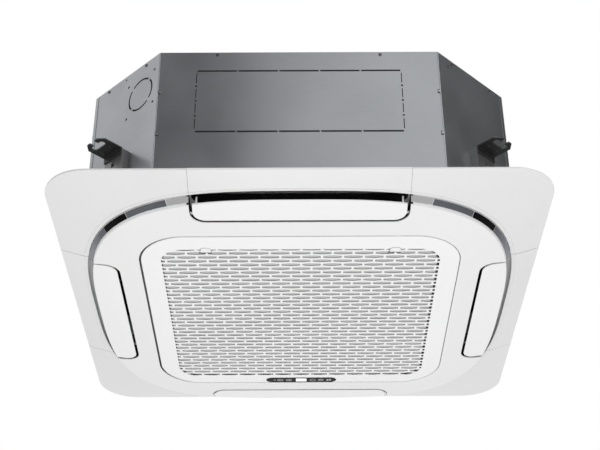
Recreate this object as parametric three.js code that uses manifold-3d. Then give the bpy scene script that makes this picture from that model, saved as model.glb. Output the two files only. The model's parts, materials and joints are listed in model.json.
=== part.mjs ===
// Ceiling cassette air conditioner: a steel casing that hangs above the ceiling, and the white
// panel below it with a hinged intake grille in the middle and an air outlet along each side.
// Millimetres, +Z up. The origin is the centre of the ceiling opening, in the ceiling plane.

import * as THREE from 'three';
import { mergeVertices } from 'three/addons/utils/BufferGeometryUtils.js';
import Module from 'manifold-3d';

const wasm = await Module();
wasm.setup();

// ---------------------------------------------------------------- driving dimensions

// Panel, seen from above
const panelSize = 950; // across the panel, both ways
const rimCornerRadius = 85; // rounded corners of the panel's rim
const frameWidth = 52.5; // rim to the step where the middle of the panel drops, at mid side
const stepCornerCut = 109.9; // a sharp corner round the step to its outline, along the diagonal
const outletWidth = 61.5; // air outlet, across
const outletCornerSpan = 217.5; // end of an outlet to the line of the next side's step
const outletInnerRadius = 30; // rounded inner corners of an outlet
const bridgeWidth = 46.4; // strip between an outlet and the grille's opening
const grilleGap = 2.6; // all round the grille
const grilleCornerRadius = 73;
const grilleBorder = 41; // plain border round the perforated field
const hingeInset = 10; // hinge pins from the grille's back edge
const hingePin = 1.8;
const fieldCornerRadius = 45;

// Panel, depths below the ceiling
const rimDrop = 4.5; // upright edge of the rim
const bevelDrop = 12.5; // where the frame's lip begins
const lipDrop = 15.5; // bottom of the lip
const trimDrop = 32; // bottom of the bright corner trims
const edgeDrop = 38; // outer edge of the middle
const outletDrop = 42; // inner edge of the outlets
const openingDrop = 46; // edge of the grille
const hingeDrop = 43; // hinge pins of the grille, in its top surface
const fieldDrop = 48.5; // perforated field
const panelWall = 3; // moulded wall of the panel
const baseWall = 2.4; // flat base that lies on the ceiling

// Louvers
const louverEndGap = 6;
const louverInnerGap = 6;
const louverEdgeDrop = 34.5; // outer edge of the blade, as it stands in the photo
const louverThickness = 4;
const pivotFromInner = 6; // blade's inner edge to its pivot
const pivotDrop = 30;
const pinRadius = 3;
const fenceInset = 8; // end of the blade to the fence that carries its pin
const fenceWidth = 3;
const fenceSetback = 8; // foot of a fence to the blade's inner edge

// Perforation: staggered slots, each a long flat lozenge
const slotRowPitch = 29.04;
const slotColumnPitch = 81.8;
const slotBridge = 6;
const slotHeight = 21;

// Casing
const panelOverhang = 55; // panel beyond the casing, each side
const casingLift = 20; // casing above the ceiling plane
const casingHeight = 300;
const chamferLeg = 145; // cut corners of the casing
const sheet = 1.2; // galvanised sheet
const insulation = 18;
const trayRecess = 12; // top plate below the casing's upper edge
const flangeWidth = 14; // turned-in bottom edge of the casing

// Knock-outs in the casing
const ductWidth = 401; // rectangular one on the front, for a branch duct
const ductHeight = 148.5;
const ductCentreHeight = 178.4; // above the casing's bottom edge
const perforationWidth = 2.4;
const perforationBridge = 3;
const ductCuts = 5; // cuts along each long side
const freshAirRadius = 35; // round one on the left front corner
const freshAirOffset = 47.5; // from the middle of the cut corner
const freshAirHeight = 226; // above the casing's bottom edge
const flangeHolePitch = 81;
const flangeHoleRadius = 2.5;

// Hanger brackets
const bracketWidth = 54;
const bracketWall = 2.5;
const bracketStandoff = 20; // upright web in front of the casing
const hookReach = 70;
const hookHeight = 98.5; // above the casing's bottom edge
const rodSlotReach = 54; // rod slot in front of the casing
const rodSlotWidth = 12;
const rodSlotLength = 34;
const rodEntry = 13;

// Air path inside
const outletWall = 16; // drain pan between coil trough and air outlet
const coilWallGap = 10; // coil to that wall
const coilThickness = 44;
const coilCornerRadius = 95;
const panHeight = 50;
const troughFloor = 14; // pan's floor below the coil
const fanGap = 62; // coil to fan
const fanInletInset = 21; // fan's outer edge to its inlet
const fanHeight = 148;
const fanBlades = 7;
const fanTopGap = 76; // fan's back plate below the top plate
const shaftRadius = 6;
const motorRadius = 62;
const motorHeight = 82;
const mountHeight = 24; // rubber bushes
const orificeFlange = 26;

// Clearances
const seatGap = 0.3; // between pieces that rest on each other
const runGap = 0.4; // round pins and shafts
const fanInletGap = 6.5; // fan's inlet to the inside of the orifice
const overshoot = 1; // cutting solids run past the faces they cut

// Sides of round things
const largeSides = 20; // fan, motor and orifice
const mediumSides = 12; // pipes, nuts and pump
const smallSides = 8; // pins and their bores
const cornerSteps = 3; // steps along a rounded corner

// ---------------------------------------------------------------- worked-out sizes

const panelHalf = panelSize / 2;
const stepHalf = panelHalf - frameWidth;
const stepRoundness = -1 / Math.log2(1 - stepCornerCut / (stepHalf * Math.SQRT2)); // circle 2, square more
const outletInner = stepHalf - outletWidth;
const outletHalfLength = stepHalf - outletCornerSpan;
const openingHalf = outletInner - bridgeWidth;
const grilleHalf = openingHalf - grilleGap;
const fieldHalf = grilleHalf - grilleBorder;
const casingHalf = panelHalf - panelOverhang;
const casingTop = casingLift + casingHeight;
const chamferFace = (2 * casingHalf - chamferLeg) / Math.SQRT2; // centre to a cut corner's face
const trayTop = casingTop - trayRecess;
const trayUnder = trayTop - sheet;
const panUnder = casingLift + sheet + seatGap;
const panTop = panUnder + panHeight;
const troughLevel = panUnder + troughFloor;
const coilOuter = outletInner - outletWall - coilWallGap;
const coilInner = coilOuter - coilThickness;
const fanRadius = coilInner - fanGap;
const fanInletRadius = fanRadius - fanInletInset;
const fanTop = trayUnder - fanTopGap;
const fanBottom = fanTop - fanHeight;
const orificeRadius = fanInletRadius - fanInletGap;

// ---------------------------------------------------------------- shape helpers

// A three.js geometry as a solid that can be joined and cut.
function solid(geometry) {
  const bare = geometry.clone();
  bare.deleteAttribute('normal');
  bare.deleteAttribute('uv');
  const merged = mergeVertices(bare, 1e-4);
  const mesh = new wasm.Mesh({
    numProp: 3,
    vertProperties: new Float32Array(merged.attributes.position.array),
    triVerts: new Uint32Array(merged.index.array),
  });
  return new wasm.Manifold(mesh);
}

// The solid's triangles as a three.js geometry.
function shell(body) {
  const mesh = body.getMesh();
  const geometry = new THREE.BufferGeometry();
  geometry.setAttribute('position', new THREE.BufferAttribute(mesh.vertProperties, 3));
  geometry.setIndex(new THREE.BufferAttribute(mesh.triVerts, 1));
  return geometry;
}

function joined(bodies) {
  return bodies.reduce((whole, body) => whole.add(body));
}

function box(x0, x1, y0, y1, z0, z1) {
  const geometry = new THREE.BoxGeometry(x1 - x0, y1 - y0, z1 - z0);
  geometry.translate((x0 + x1) / 2, (y0 + y1) / 2, (z0 + z1) / 2);
  return solid(geometry);
}

// An outline in plan, raised from z0 to z1.
function raised(shape, z0, z1, curveSegments = cornerSteps) {
  const geometry = new THREE.ExtrudeGeometry(shape, {
    depth: z1 - z0,
    bevelEnabled: false,
    curveSegments,
  });
  geometry.translate(0, 0, z0);
  return solid(geometry);
}

// An outline given as (across, up), carried along X from x0 to x1.
function alongX(shape, x0, x1, curveSegments = cornerSteps) {
  const geometry = new THREE.ExtrudeGeometry(shape, {
    depth: x1 - x0,
    bevelEnabled: false,
    curveSegments,
  });
  geometry.rotateX(Math.PI / 2);
  geometry.rotateZ(Math.PI / 2);
  geometry.translate(x0, 0, 0);
  return solid(geometry);
}

// A (radius, height) profile turned about the Z axis.
function turned(profile, segments = largeSides) {
  const points = profile.map(([radius, height]) => new THREE.Vector2(radius, height));
  const first = points[0];
  const last = points[points.length - 1];
  if (first.x > 0 || last.x > 0) {
    points.push(first.clone());
  }
  const geometry = new THREE.LatheGeometry(points, segments);
  geometry.rotateX(Math.PI / 2);
  return outward(solid(geometry));
}

// A profile given in either direction ends up with its faces pointing out.
function outward(body) {
  if (body.volume() > 0) {
    return body;
  }
  const mesh = body.getMesh();
  const flipped = new Uint32Array(mesh.triVerts);
  for (let i = 0; i < flipped.length; i += 3) {
    [flipped[i + 1], flipped[i + 2]] = [flipped[i + 2], flipped[i + 1]];
  }
  const turnedMesh = new wasm.Mesh({
    numProp: 3,
    vertProperties: mesh.vertProperties,
    triVerts: flipped,
  });
  return new wasm.Manifold(turnedMesh);
}

// A round bar or bore between two heights, upright at (x, y).
function bar(x, y, radius, z0, z1, segments = mediumSides) {
  const geometry = new THREE.CylinderGeometry(radius, radius, z1 - z0, segments);
  geometry.rotateX(Math.PI / 2);
  geometry.translate(x, y, (z0 + z1) / 2);
  return solid(geometry);
}

// A round bar or bore lying along X.
function crossBar(y, z, radius, x0, x1, segments = smallSides) {
  const geometry = new THREE.CylinderGeometry(radius, radius, x1 - x0, segments);
  geometry.rotateZ(Math.PI / 2);
  geometry.translate((x0 + x1) / 2, y, z);
  return solid(geometry);
}

// A tube of even radius along a curve.
function tube(curve, radius, steps, sides = smallSides) {
  const section = new THREE.Shape();
  section.absarc(0, 0, radius, 0, 2 * Math.PI, false);
  const geometry = new THREE.ExtrudeGeometry(section, {
    extrudePath: curve,
    steps,
    curveSegments: sides / 2,
    bevelEnabled: false,
  });
  return outward(solid(geometry));
}

function turnedAboutZ(body, angle) {
  const geometry = shell(body);
  geometry.rotateZ(angle);
  return solid(geometry);
}

function moved(body, x, y, z) {
  const geometry = shell(body);
  geometry.translate(x, y, z);
  return solid(geometry);
}

function outlineOf(points) {
  return new THREE.Shape(points.map(([x, y]) => new THREE.Vector2(x, y)));
}

// The casing's octagon, drawn in by a distance from its outer face.
function octagon(inset) {
  const half = casingHalf - inset;
  const leg = chamferLeg - inset * (2 - Math.SQRT2);
  const near = half - leg;
  return outlineOf([
    [near, -half], [half, -near], [half, near], [near, half],
    [-near, half], [-half, near], [-half, -near], [-near, -half],
  ]);
}

function ringShape(outer, inner, curveSegments = cornerSteps) {
  outer.holes.push(new THREE.Path(inner.getPoints(curveSegments)));
  return outer;
}

function roundedSquare(half, radius) {
  const shape = new THREE.Shape();
  const inner = half - radius;
  shape.absarc(inner, inner, radius, 0, Math.PI / 2, false);
  shape.absarc(-inner, inner, radius, Math.PI / 2, Math.PI, false);
  shape.absarc(-inner, -inner, radius, Math.PI, 1.5 * Math.PI, false);
  shape.absarc(inner, -inner, radius, 1.5 * Math.PI, 2 * Math.PI, false);
  return shape;
}

// How far a rounded square reaches in a direction.
function squareReach(angle, half, radius) {
  const across = Math.max(Math.abs(Math.cos(angle)), Math.abs(Math.sin(angle)));
  const along = Math.min(Math.abs(Math.cos(angle)), Math.abs(Math.sin(angle)));
  const centre = half - radius;
  if (half * along <= centre * across) {
    return half / across;
  }
  const middle = centre * (across + along);
  return middle + Math.sqrt(radius ** 2 - (centre * (across - along)) ** 2);
}

// How far the step's outline, a squared circle, reaches in a direction.
function stepReach(angle, half) {
  const sum = Math.abs(Math.cos(angle)) ** stepRoundness + Math.abs(Math.sin(angle)) ** stepRoundness;
  return half / sum ** (1 / stepRoundness);
}

// Distance of the step's outline from the middle line, at a place along one side.
function stepAt(along, half = stepHalf) {
  return half * (1 - (along / half) ** stepRoundness) ** (1 / stepRoundness);
}

const rim = (inset) => (angle) => squareReach(angle, panelHalf - inset, rimCornerRadius - inset);
const step = (inset) => (angle) => stepReach(angle, stepHalf - inset);
const square = (half, radius) => (angle) => squareReach(angle, half, radius);

// Directions round the panel, closer together at the corners.
const quarterDirections = [0, 14, 24, 32, 39.2, 43, 47, 50.8, 58, 66, 76];
const directions = [0, 90, 180, 270].flatMap((start) =>
  quarterDirections.map((degrees) => THREE.MathUtils.degToRad(start + degrees)));

// A ring whose cross-section runs through the given outlines, each at its own height.
function loftedRing(section) {
  const vertices = [];
  const faces = [];
  const rows = section.length;
  directions.forEach((angle) => {
    section.forEach(([reach, height]) => {
      const radius = reach(angle);
      vertices.push(radius * Math.cos(angle), radius * Math.sin(angle), height);
    });
  });
  directions.forEach((_, turn) => {
    const next = (turn + 1) % directions.length;
    for (let row = 0; row < rows; row += 1) {
      const after = (row + 1) % rows;
      const a = turn * rows + row;
      const b = next * rows + row;
      const c = next * rows + after;
      const d = turn * rows + after;
      faces.push(a, b, c, a, c, d);
    }
  });
  const geometry = new THREE.BufferGeometry();
  geometry.setAttribute('position', new THREE.Float32BufferAttribute(vertices, 3));
  geometry.setIndex(faces);
  return outward(solid(geometry));
}

// ---------------------------------------------------------------- finishes and placing

const finishes = {
  galvanised: { color: 0x9d9fa1, roughness: 0.42, metalness: 0.8 },
  bracketSteel: { color: 0x3c3d3f, roughness: 0.5, metalness: 0.6 },
  white: { color: 0xeeeeee, roughness: 0.45, metalness: 0 },
  trim: { color: 0xb4b6b8, roughness: 0.12, metalness: 1 },
  black: { color: 0x101112, roughness: 0.15, metalness: 0 },
  foam: { color: 0x2b2c2e, roughness: 0.95, metalness: 0 },
  polystyrene: { color: 0xf3f4f4, roughness: 0.9, metalness: 0 },
  fan: { color: 0xd9dadb, roughness: 0.55, metalness: 0 },
  fins: { color: 0xb9bcbf, roughness: 0.35, metalness: 0.9 },
  copper: { color: 0xb8734a, roughness: 0.3, metalness: 1 },
  brass: { color: 0xc8a24a, roughness: 0.35, metalness: 1 },
  motor: { color: 0x8b8e91, roughness: 0.5, metalness: 0.7 },
  rubber: { color: 0x1c1c1d, roughness: 0.9, metalness: 0 },
  mesh: { color: 0xb7b8b9, roughness: 0.8, metalness: 0 },
  board: { color: 0x2f6b3f, roughness: 0.6, metalness: 0 },
};

const unit = new THREE.Group();

function place(name, body, finish, parent = unit) {
  const mesh = new THREE.Mesh(shell(body), new THREE.MeshStandardMaterial(finishes[finish]));
  mesh.name = name;
  parent.add(mesh);
  return mesh;
}

// A solid made with +X as the way out of the cut corner at the back right, moved to that corner.
function onPipeCorner(body) {
  const geometry = shell(body);
  geometry.translate(chamferFace, 0, 0);
  geometry.rotateZ(Math.PI / 4);
  return solid(geometry);
}

// A group turned so that its front (-Y) faces the given side: 0 front, 1 right, 2 back, 3 left.
function sideGroup(side) {
  const group = new THREE.Group();
  group.rotation.z = (side * Math.PI) / 2;
  unit.add(group);
  return group;
}

// A group whose +X leaves a cut corner of the casing squarely, with its origin on that face.
function cornerGroup(corner) {
  const angle = (corner * Math.PI) / 2 - 0.75 * Math.PI;
  const group = new THREE.Group();
  group.position.set(chamferFace * Math.cos(angle), chamferFace * Math.sin(angle), 0);
  group.rotation.z = angle;
  unit.add(group);
  return group;
}

// ---------------------------------------------------------------- casing

// Straight cuts of the rectangular knock-out, on the front face.
function ductKnockout() {
  const centre = casingLift + ductCentreHeight;
  const pitch = ductWidth / ductCuts;
  const front = -casingHalf - overshoot;
  const back = -casingHalf + sheet + overshoot;
  const sideWidth = perforationWidth / 2;
  const cuts = [];
  for (const end of [-1, 1]) {
    const level = centre + (end * ductHeight) / 2;
    for (let cut = 0; cut < ductCuts; cut += 1) {
      const start = -ductWidth / 2 + cut * pitch + perforationBridge / 2;
      const stop = start + pitch - perforationBridge;
      const low = level - perforationWidth / 2;
      cuts.push(box(start, stop, front, back, low, low + perforationWidth));
    }
    const side = (end * ductWidth) / 2;
    for (const half of [-1, 1]) {
      const near = centre + half * perforationBridge;
      const far = centre + (half * ductHeight) / 2 - half * 2 * perforationBridge;
      const low = Math.min(near, far);
      const high = Math.max(near, far);
      cuts.push(box(side - sideWidth / 2, side + sideWidth / 2, front, back, low, high));
    }
  }
  return joined(cuts);
}

// The round knock-out: four arcs, and the four holes of its duct flange.
function freshAirKnockout() {
  const arcs = [];
  const half = perforationWidth / 2;
  for (let quarter = 0; quarter < 4; quarter += 1) {
    const margin = perforationBridge / freshAirRadius;
    const from = (quarter * Math.PI) / 2 + margin + Math.PI / 4;
    const to = from + Math.PI / 2 - 2 * margin;
    const arc = new THREE.Shape();
    arc.absarc(0, 0, freshAirRadius + half, from, to, false);
    arc.absarc(0, 0, freshAirRadius - half, to, from, true);
    arcs.push(raised(arc, -sheet - overshoot, overshoot));
  }
  for (const [right, up] of [[-1, -1], [1, -1], [-1, 1], [1, 1]]) {
    const pitch = flangeHolePitch / 2;
    arcs.push(bar(right * pitch, up * pitch, flangeHoleRadius, -sheet - overshoot, overshoot, 6));
  }
  const geometry = shell(joined(arcs));
  geometry.rotateX(Math.PI / 2);
  geometry.rotateZ(-Math.PI / 4);
  const across = -chamferFace / Math.SQRT2;
  const shift = freshAirOffset / Math.SQRT2;
  geometry.translate(across + shift, across - shift, casingLift + freshAirHeight);
  return solid(geometry);
}

const gasPipeRadius = 8;
const liquidPipeRadius = 4.8;
const gasPipeOffset = 52; // along the cut corner, beside the hanger bracket
const liquidPipeOffset = 84;
const gasPipeHeight = 130;
const liquidPipeHeight = 180;
const pipeHoleGap = 0.4;
const drainRadius = 13;
const drainHeight = 210; // above the casing's bottom edge
const drainInset = 39; // drain socket to the end of the back face
const drainAcross = casingHalf - chamferLeg - drainInset;

// Round holes for the two pipes through the cut corner, and one for the drain through the back.
function pipeHoles() {
  const reach = sheet + overshoot;
  const gas = crossBar(gasPipeOffset, gasPipeHeight, gasPipeRadius + pipeHoleGap, -reach, reach, mediumSides);
  const liquid = crossBar(liquidPipeOffset, liquidPipeHeight, liquidPipeRadius + pipeHoleGap, -reach, reach,
    mediumSides);
  const drain = new THREE.CylinderGeometry(drainRadius + 1, drainRadius + 1, 2 * reach, mediumSides);
  drain.translate(drainAcross, casingHalf, casingLift + drainHeight);
  return onPipeCorner(gas.add(liquid)).add(solid(drain));
}

function casing() {
  const wall = raised(ringShape(octagon(0), octagon(sheet)), casingLift, casingTop);
  const flange = raised(ringShape(octagon(0), octagon(flangeWidth)), casingLift, casingLift + sheet);
  return wall.add(flange).subtract(ductKnockout()).subtract(freshAirKnockout()).subtract(pipeHoles());
}

// Top plate: a tray with a turned-up edge, a ring bead and eight pressed ribs.
function topTray() {
  const edge = sheet + seatGap;
  const plate = raised(octagon(edge), trayUnder, trayTop);
  const lip = raised(ringShape(octagon(edge), octagon(edge + sheet)), trayUnder, casingTop - seatGap);
  const beadRadius = (motorRadius + casingHalf) / 3;
  const foot = 14; // half of a bead's width at the plate
  const crest = 8; // and along its top
  const low = trayTop - sheet / 2;
  const high = trayTop + 7;
  const bead = turned([
    [beadRadius - foot, low], [beadRadius - crest, high], [beadRadius + crest, high], [beadRadius + foot, low],
  ]);
  const profile = outlineOf([[-foot, low], [foot, low], [crest, high], [-crest, high]]);
  const ribs = [];
  for (let turn = 0; turn < 8; turn += 1) {
    const reach = turn % 2 === 0 ? casingHalf : chamferFace;
    const rib = alongX(profile, beadRadius + 2 * foot, reach - 2.5 * foot);
    ribs.push(turnedAboutZ(rib, (turn * Math.PI) / 4));
  }
  return joined([plate, lip, bead, ...ribs]);
}

// Insulation inside the casing, left out at the pipes' corner and round the drain socket.
function foamLiner() {
  const edge = sheet + seatGap;
  const ring = raised(ringShape(octagon(edge), octagon(edge + insulation)), panTop + seatGap,
    trayUnder - seatGap);
  const pipeRoom = liquidPipeOffset + 26; // from the middle of the corner, both ways
  const corner = box(-60, overshoot, -pipeRoom, pipeRoom, 0, casingTop);
  const drainRoom = drainRadius + 8;
  const level = casingLift + drainHeight;
  const drain = box(drainAcross - drainRoom, drainAcross + drainRoom, casingHalf - 2 * insulation,
    casingHalf, level - drainRoom, casingTop);
  return ring.subtract(onPipeCorner(corner)).subtract(drain);
}

place('casing_wall', casing(), 'galvanised');
place('top_plate', topTray(), 'galvanised');
place('foam_liner', foamLiner(), 'foam');

// ---------------------------------------------------------------- hanger brackets

// Bent steel channel with a foot for the panel's screw and a hook with a slot for the rod.
function hangerBracket() {
  const half = bracketWidth / 2;
  const hookTop = casingLift + hookHeight;
  const web = bracketStandoff - bracketWall;
  const channel = raised(outlineOf([
    [seatGap, -half], [bracketStandoff, -half], [bracketStandoff, half], [seatGap, half],
    [seatGap, half - bracketWall], [web, half - bracketWall],
    [web, -half + bracketWall], [seatGap, -half + bracketWall],
  ]), casingLift, hookTop);
  const hook = new THREE.Shape();
  const reach = hookReach;
  const bevel = 12; // cut outer corners of the hook
  const slot = rodSlotWidth / 2;
  const slotEnd = rodSlotLength / 2 - slot;
  hook.moveTo(web, -half);
  hook.lineTo(reach - bevel, -half);
  hook.lineTo(reach, -half + bevel);
  hook.lineTo(reach, -rodEntry / 2);
  hook.lineTo(rodSlotReach + slot, -rodEntry / 2);
  hook.lineTo(rodSlotReach + slot, -slotEnd);
  hook.absarc(rodSlotReach, -slotEnd, slot, 0, -Math.PI, true);
  hook.absarc(rodSlotReach, slotEnd, slot, Math.PI, 0, true);
  hook.lineTo(rodSlotReach + slot, rodEntry / 2);
  hook.lineTo(reach, rodEntry / 2);
  hook.lineTo(reach, half - bevel);
  hook.lineTo(reach - bevel, half);
  hook.lineTo(web, half);
  const plate = raised(hook, hookTop - bracketWall, hookTop, 2);
  const footEnd = bracketStandoff + 6;
  const footTop = casingLift + bracketWall;
  const foot = box(seatGap, footEnd, -half, half, casingLift, footTop);
  const windowHalf = 5; // square window in the web, for a cross-head driver
  const windowTop = hookTop - 24;
  const window = box(web - overshoot, bracketStandoff + overshoot, -windowHalf, windowHalf,
    windowTop - 2 * windowHalf, windowTop);
  const screwRadius = 3;
  const screwHole = bar(footEnd / 2, 0, screwRadius, casingLift - overshoot, footTop + overshoot, smallSides);
  return joined([channel, plate, foot]).subtract(window).subtract(screwHole);
}

for (let corner = 0; corner < 4; corner += 1) {
  place(`hanger_bracket_${corner + 1}`, hangerBracket(), 'bracketSteel', cornerGroup(corner));
}

// ---------------------------------------------------------------- fan and motor

const mountPlate = 3;
const bushOffset = 74;
const bushRadius = 10;
const mountTop = trayUnder - 2 * seatGap - mountHeight;
const mountUnder = mountTop - mountPlate;
const motorTop = mountUnder - seatGap;
const motorBottom = motorTop - motorHeight;
const shaftBore = shaftRadius + runGap;
const hubRadius = motorRadius + 20; // fan's dish round the motor
const hubLevel = fanBottom + 60; // floor of the dish
const hubBoss = 20;
const hubFlange = 4; // boss below the floor
const nutHeight = 11;
const shaftEngaged = 40; // shaft inside the motor

// Motor can with a rounded bottom, a flange near its top, and a bore for the shaft.
function fanMotor() {
  const flangeRadius = motorRadius + 8;
  const flangeUnder = motorTop - 5;
  const can = motorBottom + 4;
  const noseRadius = 22;
  const nose = motorBottom - 8;
  const boreEnd = motorBottom + shaftEngaged;
  return turned([
    [0, motorTop], [flangeRadius, motorTop], [flangeRadius, flangeUnder], [motorRadius, flangeUnder],
    [motorRadius, can + 10], [motorRadius - 10, can], [noseRadius, can], [noseRadius, nose],
    [shaftBore, nose], [shaftBore, boreEnd], [0, boreEnd],
  ]);
}

// Square plate that joins the motor to the four rubber bushes.
function motorBracket() {
  const edge = 4; // plate beyond a bush
  const plate = raised(roundedSquare(bushOffset + bushRadius + edge, bushRadius + edge), mountUnder, mountTop);
  const leadHole = bar(0, 0, motorRadius / 2, mountUnder - overshoot, mountTop + overshoot);
  return plate.subtract(leadHole);
}

const fanWall = 2.5;
const shroudRise = 31; // shroud's height at the fan's outer edge

// Height of the shroud above the fan's bottom, at each step out from its inlet.
const shroudLine = [
  [fanInletRadius, fanBottom], [fanInletRadius, fanBottom + 0.3 * shroudRise],
  [fanInletRadius + 0.5 * fanInletInset, fanBottom + 0.8 * shroudRise], [fanRadius, fanBottom + shroudRise],
];

// Turbo fan: shroud ring below, dished back plate above, and backward-curved blades between.
function turboFan() {
  const shroud = turned([
    ...shroudLine,
    ...shroudLine.slice().reverse().map(([radius, height]) => [radius - fanWall / 3, height + fanWall]),
  ]);
  const coneTop = hubRadius + 48;
  const floorTop = hubLevel + fanWall + 3;
  const back = turned([
    [fanRadius, fanTop - fanWall], [fanRadius, fanTop], [coneTop, fanTop], [hubRadius - 10, floorTop + 12],
    [hubRadius - 24, floorTop], [hubBoss, floorTop], [hubBoss, hubLevel + hubBoss],
    [shaftBore, hubLevel + hubBoss], [shaftBore, hubLevel - hubFlange], [hubBoss, hubLevel - hubFlange],
    [hubBoss, hubLevel], [hubRadius - 20, hubLevel], [hubRadius - 6, hubLevel + 14],
    [coneTop + 3, fanTop - fanWall],
  ]);
  const sunk = fanWall / 2; // a blade's edges sink this far into the plate and the shroud
  const between = turned([
    ...shroudLine.slice(1).map(([radius, height]) => [radius - sunk / 2, height + sunk]),
    [fanRadius - sunk / 2, fanTop - sunk], [coneTop + sunk, fanTop - sunk],
  ]);
  const blades = [];
  const bladeSteps = 3;
  const rootRadius = coneTop - 8;
  const sweep = 0.62; // radians by which a blade's tip lags behind its root
  for (let blade = 0; blade < fanBlades; blade += 1) {
    const root = (blade * 2 * Math.PI) / fanBlades;
    const upper = [];
    const lower = [];
    for (let part = 0; part <= bladeSteps; part += 1) {
      const share = part / bladeSteps;
      const radius = rootRadius + share * (fanRadius - rootRadius + overshoot);
      const angle = root - sweep * share ** 0.8;
      const half = (2 + 9 * share * (1 - share)) / radius;
      upper.push([radius * Math.cos(angle + half), radius * Math.sin(angle + half)]);
      lower.unshift([radius * Math.cos(angle - half), radius * Math.sin(angle - half)]);
    }
    const blank = raised(outlineOf([...upper, ...lower].reverse()), fanBottom, fanTop);
    blades.push(outward(blank).intersect(between));
  }
  return joined([shroud, back, ...blades]);
}

function hexNut(radius, bore, z0, z1) {
  const nut = bar(0, 0, radius, z0, z1, 6);
  return nut.subtract(bar(0, 0, bore, z0 - overshoot, z1 + overshoot));
}

const orificeWall = 2.3;

// Inlet orifice: a flat flange under the drain pan, flaring up into the fan's inlet.
function bellMouth() {
  const flangeTop = panUnder - seatGap;
  const flangeUnder = flangeTop - orificeWall;
  const rise = fanBottom - 12 - flangeUnder; // height of the flare
  const flare = 30;
  const outer = orificeRadius + flare + orificeFlange;
  const inner = [];
  const steps = 3;
  for (let part = 0; part <= steps; part += 1) {
    const angle = (part / steps) * (Math.PI / 2);
    inner.push([orificeRadius + flare * (1 - Math.sin(angle)), flangeUnder + rise * (1 - Math.cos(angle))]);
  }
  inner.push([orificeRadius, fanBottom + 6]);
  const outside = inner.slice(1).reverse().map(([radius, height]) => [radius + orificeWall, height]);
  return turned([
    [outer, flangeUnder], ...inner, ...outside,
    [orificeRadius + flare + orificeWall, flangeTop], [outer, flangeTop],
  ]);
}

place('fan_motor', fanMotor(), 'motor');
place('motor_bracket', motorBracket(), 'galvanised');
[[1, 1], [-1, 1], [-1, -1], [1, -1]].forEach(([right, back], index) => {
  const bush = bar(right * bushOffset, back * bushOffset, bushRadius, mountTop + seatGap,
    trayUnder - seatGap);
  place(`motor_bush_${index + 1}`, bush, 'rubber');
});
place('turbo_fan', turboFan(), 'fan');
const nutTop = hubLevel - hubFlange - seatGap;
const nutUnder = nutTop - nutHeight;
place('motor_shaft', bar(0, 0, shaftRadius, nutUnder - 3, motorBottom + shaftEngaged - 2), 'galvanised');
place('fan_nut', hexNut(2 * shaftRadius + 1, shaftBore, nutUnder, nutTop), 'brass');
place('bell_mouth', bellMouth(), 'white');

// ---------------------------------------------------------------- coil, pipes and drain

const coilBottom = troughLevel + seatGap;
const coilTop = trayUnder - 8;
const coilGapLeg = 140; // fin pack left out each way beside the pipes' corner
const coilEnd = coilInner - coilGapLeg;

function finPack() {
  const outer = roundedSquare(coilOuter, coilCornerRadius);
  const inner = roundedSquare(coilInner, coilCornerRadius - coilThickness);
  const ring = raised(ringShape(outer, inner), coilBottom, coilTop);
  return ring.subtract(box(coilEnd, casingHalf, coilEnd, casingHalf, 0, casingTop));
}

const endPlateWall = 1.5;
const bendRows = 4;
const bendRadius = 12.7;
const bendTube = 4.8;
const branchRadius = 3.5;
const branchGap = 2; // slanting end of a branch to the end plate
const coilMiddle = (coilInner + coilOuter) / 2;

// End plate of the fin pack with the bent tubes brazed into it, at the end of the back arm.
function coilEndPlate() {
  const start = coilEnd + seatGap;
  const plate = box(start, start + endPlateWall, coilInner, coilOuter, coilBottom, coilTop);
  const bends = [];
  const pitch = (coilTop - coilBottom) / bendRows;
  const bendSteps = 6;
  for (let row = 0; row < bendRows; row += 1) {
    const level = coilBottom + (row + 0.5) * pitch;
    const points = [];
    for (let part = 0; part <= bendSteps; part += 1) {
      const angle = (part / bendSteps) * Math.PI;
      const out = start + endPlateWall - seatGap + bendRadius * Math.sin(angle);
      points.push(new THREE.Vector3(out, coilMiddle - bendRadius * Math.cos(angle), level));
    }
    bends.push(tube(new THREE.CatmullRomCurve3(points), bendTube, 4, 6));
  }
  return joined([plate, ...bends]);
}

// Swaps X and Y, to make the like piece at the end of the right-hand arm.
function mirroredAcrossDiagonal(body) {
  const geometry = shell(body);
  const swap = new THREE.Matrix4().set(0, 1, 0, 0, 1, 0, 0, 0, 0, 0, 1, 0, 0, 0, 0, 1);
  geometry.applyMatrix4(swap);
  return outward(solid(geometry));
}

// A point in the pipe corner: distance out from the casing's face, and along the face.
function cornerPoint(out, along, height) {
  const reach = chamferFace + out;
  const diagonal = Math.SQRT1_2;
  return new THREE.Vector3((reach - along) * diagonal, (reach + along) * diagonal, height);
}

const pipeStub = 42; // pipe outside the casing
const gasHeaderOut = -60; // from the casing's face
const liquidHeaderOut = -36;

// A copper pipe: up the corner as a header, out through the casing, and thin branches to the coil.
function refrigerantPipe(radius, level, along, headerOut, branchRows, branchY) {
  const out = new THREE.LineCurve3(cornerPoint(headerOut, along, level), cornerPoint(pipeStub, along, level));
  const foot = cornerPoint(headerOut, along, panTop + 10);
  const header = bar(foot.x, foot.y, radius + 2, foot.z, coilTop - 20);
  const plateFace = coilEnd + seatGap + endPlateWall;
  const branches = branchRows.map((row) => {
    const height = coilBottom + (row * (coilTop - coilBottom)) / bendRows;
    const start = new THREE.Vector3(foot.x, foot.y, height);
    const stop = new THREE.Vector3(plateFace + branchGap, branchY, height);
    return tube(new THREE.LineCurve3(start, stop), branchRadius, 1);
  });
  return joined([header, tube(out, radius, 1, mediumSides), ...branches]);
}

const flareNutHalf = 11;

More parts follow.
